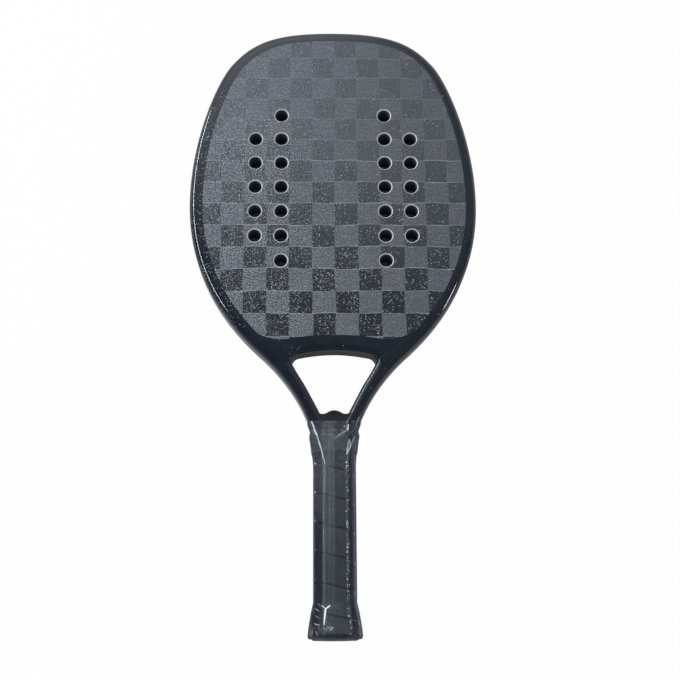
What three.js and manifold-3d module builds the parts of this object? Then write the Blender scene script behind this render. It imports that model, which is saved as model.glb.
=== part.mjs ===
// Beach tennis racket: a hollow carbon hoop whose legs run down into the handle, a foam core
// between two perforated carbon faces, and a handle wound with one strip under a clear sleeve.
// Lengths are in millimetres. The origin is the middle of the butt's flat end, +Y runs along
// the racket to the head, and +Z points out of the front face.
import * as THREE from "three";
import { mergeVertices } from "three/addons/utils/BufferGeometryUtils.js";
import Module from "manifold-3d";

const wasm = await Module();
wasm.setup();

// Driving dimensions
const overallLength = 500;
const headWidth = 233.2;
const frameDepth = 22;
const rimWidth = 9.3;
const faceLap = 3;
const tubeWall = 1.6;
const rimRound = 5;
const throatRound = 3.2;

const widestHeight = 347;
const neckHeight = 218;
const shaftHeight = 128;
const handleWidth = 26.6;
const handleDepth = 22;

const holePitch = 21.15;
const holeDiameter = 10;
const holeRingDiameter = 12.4;

const faceThickness = 0.7;
const plyThickness = 0.6;

const gripThickness = 1.5;
const gripPitch = 22;
const filmThickness = 0.3;

// Clearances and the run of a cut past what it cuts
const gap = 0.3;
const glueLine = 0.1;
const overrun = 5;

const frontLevel = frameDepth / 2;
const coreLevel = frontLevel - faceThickness - plyThickness - 2 * glueLine;
const boreLevel = coreLevel - tubeWall;

// Solids and meshes

function bare(geometry) {
  geometry.deleteAttribute("normal");
  geometry.deleteAttribute("uv");
  return mergeVertices(geometry);
}

function toSolid(geometry) {
  const vertProperties = Float32Array.from(geometry.attributes.position.array);
  const triVerts = Uint32Array.from(geometry.index.array);
  return new wasm.Manifold(new wasm.Mesh({ numProp: 3, vertProperties, triVerts }));
}

function toGeometry(solid) {
  const mesh = solid.getMesh();
  const geometry = new THREE.BufferGeometry();
  geometry.setAttribute("position", new THREE.BufferAttribute(mesh.vertProperties, 3));
  geometry.setIndex(new THREE.BufferAttribute(mesh.triVerts, 1));
  return geometry;
}

function block(low, high) {
  const size = high.clone().sub(low);
  const middle = low.clone().add(high).divideScalar(2);
  const geometry = new THREE.BoxGeometry(size.x, size.y, size.z);
  geometry.translate(middle.x, middle.y, middle.z);
  return toSolid(bare(geometry));
}

// Turns every face round if they point inwards.
function facedOutwards(positions, faces) {
  let sixVolumes = 0;
  for (const [a, b, c] of faces) {
    sixVolumes += positions[a].dot(positions[b].clone().cross(positions[c]));
  }
  return sixVolumes > 0 ? faces : faces.map(([a, b, c]) => [a, c, b]);
}

// Skins a row of rings. A looped row closes on its first ring, and any other gets two caps.
function loft(rings, { looped = false, capFaces = null } = {}) {
  const count = rings[0].length;
  const positions = rings.flat();
  const faces = [];
  const bands = looped ? rings.length : rings.length - 1;
  for (let i = 0; i < bands; i += 1) {
    const here = i * count;
    const next = ((i + 1) % rings.length) * count;
    for (let j = 0; j < count; j += 1) {
      const k = (j + 1) % count;
      faces.push([here + j, here + k, next + k], [here + j, next + k, next + j]);
    }
  }
  if (!looped) {
    const last = (rings.length - 1) * count;
    for (const [a, b, c] of capFaces ?? fan(count)) {
      faces.push([a, c, b], [last + a, last + b, last + c]);
    }
  }
  const geometry = new THREE.BufferGeometry();
  geometry.setFromPoints(positions);
  geometry.setIndex(facedOutwards(positions, faces).flat());
  return geometry;
}

function fan(count) {
  const faces = [];
  for (let i = 1; i < count - 1; i += 1) {
    faces.push([0, i, i + 1]);
  }
  return faces;
}

function capOf(outline) {
  const faces = THREE.ShapeUtils.triangulateShape(outline, []);
  return faces.map(([a, b, c]) => {
    const clockwise = THREE.ShapeUtils.isClockWise([outline[a], outline[b], outline[c]]);
    return clockwise ? [a, c, b] : [a, b, c];
  });
}

// Flat outlines, all counter-clockwise seen from the front

function along(point, direction, distance) {
  return point.clone().addScaledVector(direction, distance);
}

function mirrored(point) {
  return new THREE.Vector2(-point.x, point.y);
}

// Closes a right-hand half that starts and ends on the middle line.
function bothSides(half) {
  const leftHalf = half.slice(1, -1).reverse().map(mirrored);
  return [...half, ...leftHalf];
}

function offsetOutline(outline, distance) {
  const count = outline.length;
  return outline.map((point, i) => {
    const before = point.clone().sub(outline[(i + count - 1) % count]).normalize();
    const after = outline[(i + 1) % count].clone().sub(point).normalize();
    const outward = new THREE.Vector2(before.y + after.y, -before.x - after.x).normalize();
    const squareness = outward.x * before.y - outward.y * before.x;
    return along(point, outward, distance / squareness);
  });
}

// Stacks the outline, grown by a different amount at each level, into one solid.
function stack(outline, levels) {
  const rings = levels.map(({ level, grow }) =>
    offsetOutline(outline, grow).map((point) => new THREE.Vector3(point.x, point.y, level)));
  return toSolid(loft(rings, { capFaces: capOf(outline) }));
}

function prism(outline, halfDepth) {
  return stack(outline, [{ level: -halfDepth, grow: 0 }, { level: halfDepth, grow: 0 }]);
}

const roundSteps = 3;

// A quarter round from the side wall up to the front or back, as levels and growths.
function roundLevels(halfDepth, radius, sign) {
  const levels = [];
  for (let i = 0; i <= roundSteps; i += 1) {
    const angle = (i / roundSteps) * (Math.PI / 2);
    const level = halfDepth - radius + radius * Math.sin(angle);
    const grow = sign * radius * (Math.cos(angle) - 1);
    levels.push({ level, grow });
  }
  return levels;
}

function doubled(levels) {
  const below = levels.map(({ level, grow }) => ({ level: -level, grow })).reverse();
  return [...below, ...levels];
}

function roundedPrism(outline, halfDepth, radius) {
  return stack(outline, doubled(roundLevels(halfDepth, radius, 1)));
}

// The cut that leaves rounded edges round an opening.
function flaredCut(outline, halfDepth, radius) {
  const levels = roundLevels(halfDepth, radius, -1);
  levels.push({ level: halfDepth + overrun, grow: radius });
  return stack(outline, doubled(levels));
}

// Outer outline of the racket
// Shares of half the head's width, and of the height between the points that a stretch joins.
const crownPullShare = 0.42;
const shoulderReachShare = 0.728;
const shoulderHeightShare = 0.798;
const shoulderPullShares = [0.239, 0.138];
const widestPullShares = [0.379, 0.439];
const neckReachShare = 0.498;
const neckPullShares = [0.362, 0.41];
const shaftPullShare = 0.355;
const shoulderSlope = THREE.MathUtils.degToRad(51.4);
const neckSlope = THREE.MathUtils.degToRad(47.6);
const stretchSteps = 8;

function outerSidePoints() {
  const half = headWidth / 2;
  const upper = overallLength - widestHeight;
  const cheek = widestHeight - neckHeight;
  const leg = neckHeight - shaftHeight;
  const across = new THREE.Vector2(1, 0);
  const down = new THREE.Vector2(0, -1);
  const shoulderRun = new THREE.Vector2(Math.cos(shoulderSlope), -Math.sin(shoulderSlope));
  const neckRun = new THREE.Vector2(-Math.sin(neckSlope), -Math.cos(neckSlope));
  const crown = new THREE.Vector2(0, overallLength);
  const shoulder = new THREE.Vector2(half * shoulderReachShare, widestHeight + upper * shoulderHeightShare);
  const widest = new THREE.Vector2(half, widestHeight);
  const neck = new THREE.Vector2(half * neckReachShare, neckHeight);
  const shaft = new THREE.Vector2(handleWidth / 2, shaftHeight);
  const stretches = [
    [crown, along(crown, across, half * crownPullShare),
      along(shoulder, shoulderRun, -half * shoulderPullShares[0]), shoulder],
    [shoulder, along(shoulder, shoulderRun, half * shoulderPullShares[1]),
      along(widest, down, -upper * widestPullShares[0]), widest],
    [widest, along(widest, down, cheek * widestPullShares[1]),
      along(neck, neckRun, -cheek * neckPullShares[0]), neck],
    [neck, along(neck, neckRun, leg * neckPullShares[1]),
      along(shaft, down, -leg * shaftPullShare), shaft],
  ];
  const points = [crown];
  for (const stretch of stretches) {
    points.push(...new THREE.CubicBezierCurve(...stretch).getPoints(stretchSteps).slice(1));
  }
  return points;
}

const outerSide = outerSidePoints();

function outerOutline() {
  const foot = shaftHeight - 2 * rimRound - overrun;
  const rightFoot = new THREE.Vector2(handleWidth / 2, foot);
  const right = [rightFoot, ...outerSide.slice().reverse()];
  const left = right.slice(0, -1).reverse().map(mirrored);
  return [...right, ...left];
}

// Half-width of the racket at a height below its widest point.
function outerHalfAt(height) {
  for (let i = outerSide.length - 1; i > 0; i -= 1) {
    const low = outerSide[i];
    const high = outerSide[i - 1];
    if (height <= high.y) {
      const share = Math.max(0, (height - low.y) / (high.y - low.y));
      return THREE.MathUtils.lerp(low.x, high.x, share);
    }
  }
  return headWidth / 2;
}

// Throat: the opening between the legs, and the wedge below it that the filler takes
const throatRise = 3.1;
const throatTopHeight = neckHeight + throatRise;
const archRise = 3.1;
const throatCornerDrop = 10.1;
const throatCornerSize = 4.9;
const crotchRise = 23;
const crotchHeight = shaftHeight + crotchRise;
const slitWidth = 0.8;
const legAcross = 11.8;
const legHeightShares = [0.15, 0.355, 0.5165, 0.683, 0.866, 1];
const legAcrossShares = [1.083, 1, 1.015, 1.1, 1.25, 1.52];
const fillerRise = 44.3;
const fillerHeight = shaftHeight + fillerRise;
const fillerWave = 2.3;
const fillerWaveShares = [0.45, 0.25, -0.25, 0];
const fillerReachShares = [0, 0.34, 0.64, 1];
const cornerSteps = 4;
const archSteps = 6;
const waveSteps = 8;

function legInnerPoints() {
  const top = throatTopHeight - throatCornerDrop;
  return legHeightShares.map((share, i) => {
    const height = THREE.MathUtils.lerp(crotchHeight, top, share);
    return new THREE.Vector2(outerHalfAt(height) - legAcross * legAcrossShares[i], height);
  });
}

function archPoints() {
  const corner = legInnerPoints().at(-1);
  const cornerPull = new THREE.Vector2(corner.x, corner.y + throatCornerSize);
  const archEnd = new THREE.Vector2(corner.x - throatCornerSize, throatTopHeight - archRise);
  const cornerCurve = new THREE.QuadraticBezierCurve(corner, cornerPull, archEnd);
  const top = new THREE.Vector2(0, throatTopHeight);
  const archPull = new THREE.Vector2(archEnd.x / 2, throatTopHeight);
  const arch = new THREE.QuadraticBezierCurve(archEnd, archPull, top);
  return [...cornerCurve.getPoints(cornerSteps).slice(1), ...arch.getPoints(archSteps).slice(1)];
}

// The whole bay between the legs, from the crotch to the bridge.
function bayOutline() {
  const crotch = [new THREE.Vector2(0, crotchHeight), new THREE.Vector2(slitWidth / 2, crotchHeight)];
  return bothSides([...crotch, ...legInnerPoints(), ...archPoints()]);
}

// The open part of the bay, above the filler's waved edge.
function openingOutline() {
  const legs = legInnerPoints().filter((point) => point.y > fillerHeight + fillerWave);
  const legFoot = outerHalfAt(fillerHeight) - legAcross;
  const wave = fillerReachShares.map((share, i) =>
    new THREE.Vector2(legFoot * share, fillerHeight + fillerWave * fillerWaveShares[i]));
  const waved = new THREE.SplineCurve(wave).getPoints(waveSteps);
  return bothSides([...waved, ...legs, ...archPoints()]);
}

// Face outline: the rim's inner edge, closed by a waved line above the bridge
const bridgeHeight = 11.4;
const faceFootHeight = throatTopHeight + bridgeHeight;
const faceFootDip = 3.3;
const faceFootReachShares = [0, 0.172, 0.362, 0.448, 0.504];
const faceFootDipShares = [0, 0.18, 1, 0.82, -0.3];
const faceFootSteps = 9;

function faceOutline() {
  const foot = faceFootReachShares.map((share, i) =>
    new THREE.Vector2(headWidth / 2 * share, faceFootHeight - faceFootDip * faceFootDipShares[i]));
  const footCurve = new THREE.SplineCurve(foot).getPoints(faceFootSteps);
  const inner = offsetOutline(outerOutline(), -rimWidth);
  const sideFoot = faceFootHeight + faceFootDip + faceLap;
  const side = inner.filter((point) => point.x > 0 && point.y > sideFoot);
  const crown = new THREE.Vector2(0, overallLength - rimWidth);
  return bothSides([...footCurve, ...side.filter((point) => point.y < crown.y), crown]);
}

const face = faceOutline();
const coreWindow = offsetOutline(face, -faceLap);

// Two columns of holes on each side of the middle, the inner one longer, set about the face's middle
const holeColumns = [{ column: 2, reach: 3 }, { column: 3, reach: 2 }];
const holeCentreShare = 0.4703;
const holeCentreHeight = THREE.MathUtils.lerp(faceFootHeight, overallLength, holeCentreShare);

function holeCentres() {
  const centres = [];
  for (const { column, reach } of holeColumns) {
    for (let row = -reach; row <= reach; row += 1) {
      for (const side of [-1, 1]) {
        const height = holeCentreHeight + row * holePitch;
        centres.push(new THREE.Vector2(side * column * holePitch, height));
      }
    }
  }
  return centres;
}

function perforatedSheet(outline, holeRadius, segments, low, high) {
  const shape = new THREE.Shape(outline);
  for (const centre of holeCentres()) {
    const hole = new THREE.Path();
    hole.absarc(centre.x, centre.y, holeRadius, 0, 2 * Math.PI, true);
    shape.holes.push(hole);
  }
  const settings = { depth: high - low, bevelEnabled: false, curveSegments: segments };
  const geometry = new THREE.ExtrudeGeometry(shape, settings);
  return geometry.translate(0, 0, low);
}

// Handle sections: an eight-sided shape with softened corners, square to the racket's length
const frontFlat = 15.2;
const sideFlat = 11;
const cornerSoftness = 1;
const legChamfer = 2.9;
const chamferRun = 28;
const chamferEndHeight = shaftHeight + chamferRun;

const buttReach = 4.1;
const buttDepthReach = 3.6;
const flareHeight = 27;
const lipHeight = 3.6;
const flareHeightShares = [0, 0.15, 0.33, 0.55, 0.76, 0.96, 1];
const flareReachShares = [1, 0.98, 0.86, 0.62, 0.38, 0.07, 0];

// How far the butt's flare stands out at a height, from 1 at the butt to 0 on the plain handle.
function flareAt(height) {
  const share = height / flareHeight;
  for (let i = 1; i < flareHeightShares.length; i += 1) {
    if (share <= flareHeightShares[i]) {
      const local = (share - flareHeightShares[i - 1]) / (flareHeightShares[i] - flareHeightShares[i - 1]);
      return THREE.MathUtils.lerp(flareReachShares[i - 1], flareReachShares[i], Math.max(0, local));
    }
  }
  return 0;
}

function plainSizes() {
  return { wide: handleWidth / 2, deep: handleDepth / 2, flat: frontFlat / 2, side: sideFlat / 2 };
}

function handleSizes(height) {
  const plain = plainSizes();
  if (height <= shaftHeight) {
    const flare = flareAt(height);
    const wide = plain.wide + buttReach * flare;
    const deep = plain.deep + buttDepthReach * flare;
    return { wide, deep, flat: plain.flat, side: plain.side };
  }
  const share = Math.min(1, (height - shaftHeight) / (chamferEndHeight - shaftHeight));
  const wide = outerHalfAt(height);
  const flat = wide - THREE.MathUtils.lerp(plain.wide - plain.flat, legChamfer, share);
  const side = plain.deep - THREE.MathUtils.lerp(plain.deep - plain.side, legChamfer, share);
  return { wide, deep: plain.deep, flat, side };
}

function section(height, sizes, grow) {
  const slant = grow * Math.tan(Math.PI / 8);
  const wide = sizes.wide + grow;
  const deep = sizes.deep + grow;
  const flat = sizes.flat + slant;
  const side = sizes.side + slant;
  const corners = [
    [wide, side], [flat, deep], [-flat, deep], [-wide, side],
    [-wide, -side], [-flat, -deep], [flat, -deep], [wide, -side],
  ].map(([x, z]) => new THREE.Vector3(x, height, z));
  const points = [];
  corners.forEach((corner, i) => {
    for (const neighbour of [corners[(i + 7) % 8], corners[(i + 1) % 8]]) {
      const run = neighbour.clone().sub(corner).normalize();
      points.push(corner.clone().addScaledVector(run, cornerSoftness));
    }
  });
  return points;
}

function plainSection(height, grow) {
  return section(height, plainSizes(), grow);
}

function handleSection(height, grow) {
  return section(height, handleSizes(height), grow);
}

function plainBar(low, high, grow) {
  return toSolid(loft([plainSection(low, grow), plainSection(high, grow)]));
}

// Frame tube: hoop and legs in one, with the bridge's seat and the faces' rebates cut out
const palletWall = 2;
const legEndHeight = 8;
const legTuck = palletWall + gap;
const jointFootHeight = throatTopHeight - throatCornerDrop / 2;
const jointFoot = new THREE.Vector2(legInnerPoints().at(-1).x + slitWidth, jointFootHeight);
const jointReach = 18;
const jointHead = new THREE.Vector2(jointFoot.x + jointReach, faceFootHeight + 2 * faceLap);
const chamferShares = [0, 0.15, 0.35, 0.55, 0.75, 0.9, 1];
const chamferStations = chamferShares.map((share) =>
  THREE.MathUtils.lerp(shaftHeight, chamferEndHeight, share));

function bridgeRegion(grow) {
  const half = [new THREE.Vector2(0, jointFoot.y - 2 * overrun),
    new THREE.Vector2(jointFoot.x - overrun, jointFoot.y - 2 * overrun),
    jointFoot, jointHead, new THREE.Vector2(0, jointHead.y)];
  return prism(offsetOutline(bothSides(half), grow), frameDepth);
}

// What the handle's sloping flats take off the corners of the legs, or of the bore in them.
function cornerWaste(grow) {
  const reach = headWidth / 2;
  const low = new THREE.Vector3(-reach, shaftHeight - overrun, -frameDepth);
  const high = new THREE.Vector3(reach, chamferEndHeight, frameDepth);
  const stations = [shaftHeight - 2 * overrun, ...chamferStations, chamferEndHeight + overrun];
  const inside = toSolid(loft(stations.map((height) => handleSection(height, grow))));
  return block(low, high).subtract(inside);
}

function slit(grow) {
  const half = slitWidth / 2 + grow;
  const low = new THREE.Vector3(-half, -overrun, -frameDepth);
  return block(low, new THREE.Vector3(half, crotchHeight + slitWidth, frameDepth));
}

function belowShaft(height) {
  const reach = new THREE.Vector3(headWidth, overallLength, frameDepth);
  return block(reach.clone().negate(), new THREE.Vector3(reach.x, height, reach.z));
}

const opening = flaredCut(openingOutline(), frontLevel, throatRound);
const bay = bayOutline();

function frameAndBridge() {
  const rebate = offsetOutline(face, gap);
  const deepCut = coreLevel + frameDepth;
  let solid = roundedPrism(outerOutline(), frontLevel, rimRound);
  solid = solid.subtract(cornerWaste(0)).subtract(belowShaft(shaftHeight - overrun));
  solid = solid.subtract(prism(bay, frameDepth)).subtract(opening);
  solid = solid.subtract(prism(coreWindow, frameDepth));
  for (const side of [-1, 1]) {
    solid = solid.subtract(prism(rebate, frameDepth).translate([0, 0, side * deepCut]));
  }
  return solid;
}

const outerBody = frameAndBridge();

// The space inside the hoop and legs, a given depth below the outer surface.
function frameInside(depth, level) {
  let solid = prism(offsetOutline(outerOutline(), -depth), level);
  solid = solid.subtract(cornerWaste(-depth)).subtract(belowShaft(shaftHeight - overrun));
  solid = solid.subtract(prism(offsetOutline(bay, depth), frameDepth));
  solid = solid.subtract(prism(offsetOutline(coreWindow, depth), frameDepth));
  solid = solid.subtract(bridgeRegion(depth));
  return solid;
}

function frameTube() {
  const legs = plainBar(legEndHeight, shaftHeight + overrun, -legTuck);
  const legBore = plainBar(legEndHeight - overrun, shaftHeight + overrun, -legTuck - tubeWall);
  let solid = outerBody.subtract(bridgeRegion(gap)).add(legs).subtract(slit(0));
  const bore = frameInside(tubeWall, boreLevel).add(legBore).subtract(slit(tubeWall));
  return solid.subtract(bore);
}

function frameFoam() {
  const depth = tubeWall + gap;
  const legFoam = plainBar(legEndHeight, shaftHeight + overrun, -legTuck - depth);
  return frameInside(depth, boreLevel - gap).add(legFoam).subtract(slit(depth));
}

// Bridge: a short arched tube between the legs, open where it meets them
function bridgeInside(depth) {
  const reach = jointHead.x;
  const low = new THREE.Vector3(-reach, jointFoot.y, -boreLevel + depth - tubeWall);
  const high = new THREE.Vector3(reach, jointHead.y, boreLevel - depth + tubeWall);
  const above = prism(offsetOutline(coreWindow, depth), frameDepth);
  return block(low, high).subtract(prism(offsetOutline(bay, depth), frameDepth)).subtract(above);
}

function throatBridge() {
  return outerBody.intersect(bridgeRegion(0)).subtract(bridgeInside(tubeWall));
}

function bridgeFoam() {
  return bridgeInside(tubeWall + gap).intersect(bridgeRegion(-gap));
}

// Filler: a wedge moulded between the legs, a little below their front and back
const fillerSink = 0.5;

function throatFiller() {
  const top = fillerHeight + 2 * fillerWave;
  const body = prism(offsetOutline(bay, -gap), frontLevel - fillerSink);
  return body.intersect(belowShaft(top)).subtract(opening).subtract(slit(0));
}

// Handle pallets: a front and a back half shell round the legs, stepped in for the butt cap
const capFloor = 3;
const capFit = 1;

function palletPair() {
  const low = capFloor + gap;
  const stepHeight = flareHeight + gap;
  const rings = [plainSection(low, -capFit), plainSection(stepHeight, -capFit),
    plainSection(stepHeight, 0), plainSection(shaftHeight - overrun - gap, 0)];
  return toSolid(loft(rings)).subtract(plainBar(-overrun, shaftHeight, gap - legTuck));
}

function pallet(side) {
  const reach = new THREE.Vector3(headWidth, overallLength, frameDepth);
  const low = reach.clone().negate().setZ(gap / 2);
  const half = side > 0 ? block(low, reach) : block(reach.clone().negate(), reach.clone().setZ(-gap / 2));
  return palletPair().intersect(half);
}

// Staples: two wire staples through the cap's sides into the pallets
const stapleWire = 0.6;
const stapleSpan = 6;
const stapleLeg = 3.4;
const stapleHeight = 19;

function staple(side, grow) {
  const crown = plainSizes().wide + buttReach * flareAt(stapleHeight) - stapleWire;
  const halfWire = stapleWire / 2 + grow;
  const inner = crown - stapleLeg - grow;
  const outer = crown + stapleWire / 2 + (grow > 0 ? overrun : 0);
  const bar = block(new THREE.Vector3(crown - halfWire, stapleHeight - halfWire, -stapleSpan / 2 - halfWire),
    new THREE.Vector3(outer, stapleHeight + halfWire, stapleSpan / 2 + halfWire));
  let solid = bar;
  for (const end of [-1, 1]) {
    const middle = end * stapleSpan / 2;
    const low = new THREE.Vector3(inner, stapleHeight - halfWire, middle - halfWire);
    solid = solid.add(block(low, new THREE.Vector3(crown, stapleHeight + halfWire, middle + halfWire)));
  }
  return side > 0 ? solid : solid.mirror([1, 0, 0]);
}

function withoutStaples(solid) {
  return solid.subtract(staple(1, gap)).subtract(staple(-1, gap));
}

// Butt cap: a flared cup over the end of the handle, with a lip that the strip starts against
const lipInset = 3;
const lipHeightShares = [0, 0.3, 0.75, 1];
const lipInsetShares = [1, 0.35, 0, 0];
const lipReach = gripThickness + gap;

function lipSection(share, inset, grow) {
  const height = lipHeight * share;
  return section(height, handleSizes(0), lipReach - lipInset * inset + grow);
}

function lipRings(grow) {
  return lipHeightShares.map((share, i) => lipSection(share, lipInsetShares[i], grow));
}

function buttCap() {
  const flare = flareHeightShares.map((share) => Math.max(share * flareHeight, lipHeight));
  const outside = flare.map((height) => handleSection(height, 0));
  const inside = [plainSection(flareHeight, gap - capFit), plainSection(capFloor, gap - capFit)];
  return toSolid(loft([...lipRings(0), ...outside, ...inside]));
}

// Base grip: one strip wound up the handle, its ends trimmed square to the handle
const seamHeight = 17.9;
const seamGap = 0.6;
const gripStart = lipHeight + gap;
const gripRise = 24.7;
const gripTop = shaftHeight + gripRise;
const stripTip = 1.5;
const stripEndShare = 0.4;
const tapeWidth = 12.7;
const acrossShares = [0, 0.22, 0.45, 0.7, 1];

// Where each corner of the handle lies along one turn, measured from the middle of the front.
function turnShares() {
  const ring = plainSection(0, gripThickness);
  const lengths = ring.map((point, i) => point.distanceTo(ring[(i + 1) % ring.length]));
  const turn = lengths.reduce((sum, length) => sum + length, 0);
  const frontIndex = 3;
  const shares = [];
  let travelled = -lengths[frontIndex] / 2;
  for (let i = 0; i < ring.length; i += 1) {
    shares.push({ index: (frontIndex + i) % ring.length, share: travelled / turn });
    travelled += lengths[(frontIndex + i) % ring.length];
  }
  return shares;
}

// The strip is skived thin under the finishing tape.
function stripThicknessAt(height) {
  const belowTop = THREE.MathUtils.clamp((gripTop - height) / tapeWidth, 0, 1);
  return gripThickness * THREE.MathUtils.lerp(stripEndShare, 1, belowTop);
}

function stripRing(index, low, high) {
  const heights = acrossShares.map((share) => THREE.MathUtils.lerp(low, high, share));
  const inner = heights.map((height) => handleSection(height, gap)[index]);
  const outer = heights.map((height) => handleSection(height, gap + stripThicknessAt(height))[index]);
  return [...inner, ...outer.reverse()];
}

function baseGripRings() {
  const rings = [];
  const lastTurn = Math.ceil((gripTop - seamHeight) / gripPitch) + 1;
  for (let turn = -2; turn <= lastTurn; turn += 1) {
    for (const { index, share } of turnShares()) {
      const edge = seamHeight + gripPitch * (turn + share - 1) + seamGap / 2;
      const low = Math.max(gripStart, edge);
      const high = Math.min(gripTop, edge + gripPitch - seamGap);
      if (high - low > stripTip) {
        rings.push(stripRing(index, low, high));
      }
    }
  }
  return rings;
}

// The least distance between corners of the strip that lie over half a turn apart.
function leastGap(rings) {
  const halfTurn = rings[0].length;
  let least = Infinity;
  for (let i = 0; i < rings.length; i += 1) {
    for (let j = i + halfTurn; j < rings.length; j += 1) {
      for (const here of rings[i]) {
        for (const there of rings[j]) {
          least = Math.min(least, here.distanceTo(there));
        }
      }
    }
  }
  return least;
}

// Finishing tape and clear sleeve: thin tubes round the wound strip
const tapeThickness = 0.3;
const tapeGap = 0.25;
const filmGap = 0.4;
const filmRise = 37;
const filmTop = shaftHeight + filmRise;
const tapeShares = [0, 0.25, 0.5, 0.75, 1];
const bareLegShares = [0.35, 0.7, 1];

function tapeInsideAt(height) {
  return gap + stripThicknessAt(height) + tapeGap;
}

function filmInsideAt(height) {
  const tapeFoot = gripTop - tapeWidth;
  const wound = height < tapeFoot - filmGap ? gap + gripThickness : tapeInsideAt(height) + tapeThickness;
  return wound + filmGap;
}

// The rings of a thin wall that follows the handle, up its outside and back down its inside.
function wallRings(stations, thickness) {
  const outside = stations.map(({ height, grow }) => handleSection(height, grow + thickness));
  const inside = stations.map(({ height, grow }) => handleSection(height, grow));
  return [...outside, ...inside.reverse()];
}

function finishingTape() {
  const heights = tapeShares.map((share) => gripTop - tapeWidth * (1 - share));
  const stations = heights.map((height) => ({ height, grow: tapeInsideAt(height) }));
  return loft(wallRings(stations, tapeThickness), { looped: true });
}

function filmSleeve() {
  const tapeFoot = gripTop - tapeWidth;
  const flare = flareHeightShares.slice(1).map((share) => share * flareHeight);
  const taper = chamferStations.filter((height) => height < tapeFoot - 2 * filmGap);
  const taped = [tapeFoot - filmGap, tapeFoot + tapeWidth / 3, gripTop - tapeWidth / 3, gripTop + filmGap];
  const wound = [...flare, ...taper, ...taped].map((height) => ({ height, grow: filmInsideAt(height) }));
  const bareLeg = bareLegShares.map((share) => THREE.MathUtils.lerp(gripTop, filmTop, share));
  const overLegs = bareLeg.map((height) => ({ height, grow: gap }));
  const stations = [...wound, ...overLegs];
  const lipOutside = lipRings(filmGap + filmThickness).slice(1);
  const lipInside = lipRings(filmGap).slice(1).reverse();
  return loft([...lipOutside, ...wallRings(stations, filmThickness), ...lipInside], { looped: true });
}

// The racket, piece by piece

const racket = new THREE.Group();

function addPiece(name, geometry, color, roughness, metalness = 0) {
  const material = new THREE.MeshStandardMaterial({ color, roughness, metalness });
  const mesh = new THREE.Mesh(geometry, material);
  mesh.name = name;
  racket.add(mesh);
}

const lacquer = 0x1c242c;
const carbonFace = 0x4a525c;
const glassFibre = 0xb9bdb8;
const foam = 0xd8d8cf;
const coreFoam = 0x24282d;
const plastic = 0x22262b;
const stripColour = 0x3c434a;
const clearFilm = 0x8a9299;
const wire = 0xb8bcc0;

addPiece("frame_tube", toGeometry(frameTube()), lacquer, 0.2);
addPiece("frame_foam", toGeometry(frameFoam()), foam, 0.9);
addPiece("throat_bridge", toGeometry(throatBridge()), lacquer, 0.2);
addPiece("bridge_foam", toGeometry(bridgeFoam()), foam, 0.9);
addPiece("throat_filler", toGeometry(throatFiller()), lacquer, 0.3);

const coreOutline = offsetOutline(coreWindow, -gap);
const plyLow = coreLevel + glueLine;
const plyHigh = plyLow + plyThickness;
const faceLow = plyHigh + glueLine;
const fineHole = 6;
const plainHole = 5;

addPiece("eva_core",
  perforatedSheet(coreOutline, holeDiameter / 2 + gap, plainHole, -coreLevel, coreLevel), coreFoam, 0.9);
addPiece("glass_ply_front",
  perforatedSheet(face, holeDiameter / 2, plainHole, plyLow, plyHigh), glassFibre, 0.6);
addPiece("glass_ply_back",
  perforatedSheet(face, holeDiameter / 2, plainHole, -plyHigh, -plyLow), glassFibre, 0.6);
addPiece("face_front",
  perforatedSheet(face, holeRingDiameter / 2, fineHole, faceLow, frontLevel), carbonFace, 0.5);
addPiece("face_back",
  perforatedSheet(face, holeRingDiameter / 2, fineHole, -frontLevel, -faceLow), carbonFace, 0.5);

addPiece("handle_pallet_front", toGeometry(withoutStaples(pallet(1))), coreFoam, 0.8);
addPiece("handle_pallet_back", toGeometry(withoutStaples(pallet(-1))), coreFoam, 0.8);
addPiece("butt_cap", toGeometry(withoutStaples(buttCap())), plastic, 0.5);
addPiece("butt_staple_right", toGeometry(staple(1, 0)), wire, 0.3, 0.9);
addPiece("butt_staple_left", toGeometry(staple(-1, 0)), wire, 0.3, 0.9);

const gripRings = baseGripRings();
console.log(`base grip: least gap to itself ${leastGap(gripRings).toFixed(2)} mm`);
addPiece("base_grip", loft(gripRings), stripColour, 0.7);
addPiece("finishing_tape", finishingTape(), plastic, 0.6);
addPiece("film_sleeve", filmSleeve(), clearFilm, 0.1);

export default racket;
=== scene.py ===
"""The looks of a beach tennis racket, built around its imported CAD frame.

The racket lies flat: +Y runs from the butt to the head, and +Z points out of the front face.
Lengths are in metres.
"""

import math

import bpy
from mathutils import Matrix, Vector


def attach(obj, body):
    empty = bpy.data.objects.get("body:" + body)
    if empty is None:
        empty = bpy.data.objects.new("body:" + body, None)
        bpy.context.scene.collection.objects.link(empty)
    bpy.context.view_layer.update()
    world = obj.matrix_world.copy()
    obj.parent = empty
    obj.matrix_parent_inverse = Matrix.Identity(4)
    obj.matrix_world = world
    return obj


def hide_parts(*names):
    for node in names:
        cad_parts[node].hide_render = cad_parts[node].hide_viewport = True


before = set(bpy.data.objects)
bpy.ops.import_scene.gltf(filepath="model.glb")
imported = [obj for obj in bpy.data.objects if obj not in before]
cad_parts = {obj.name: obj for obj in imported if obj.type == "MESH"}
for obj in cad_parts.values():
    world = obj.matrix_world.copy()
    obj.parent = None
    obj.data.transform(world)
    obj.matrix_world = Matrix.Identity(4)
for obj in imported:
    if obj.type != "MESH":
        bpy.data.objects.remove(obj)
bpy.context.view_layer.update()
bpy.ops.object.select_all(action="DESELECT")


# Camera. It looks down on the head from above the butt, as in a product shot.
# Its place and lens were fitted to the square grid of holes in the face.

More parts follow.
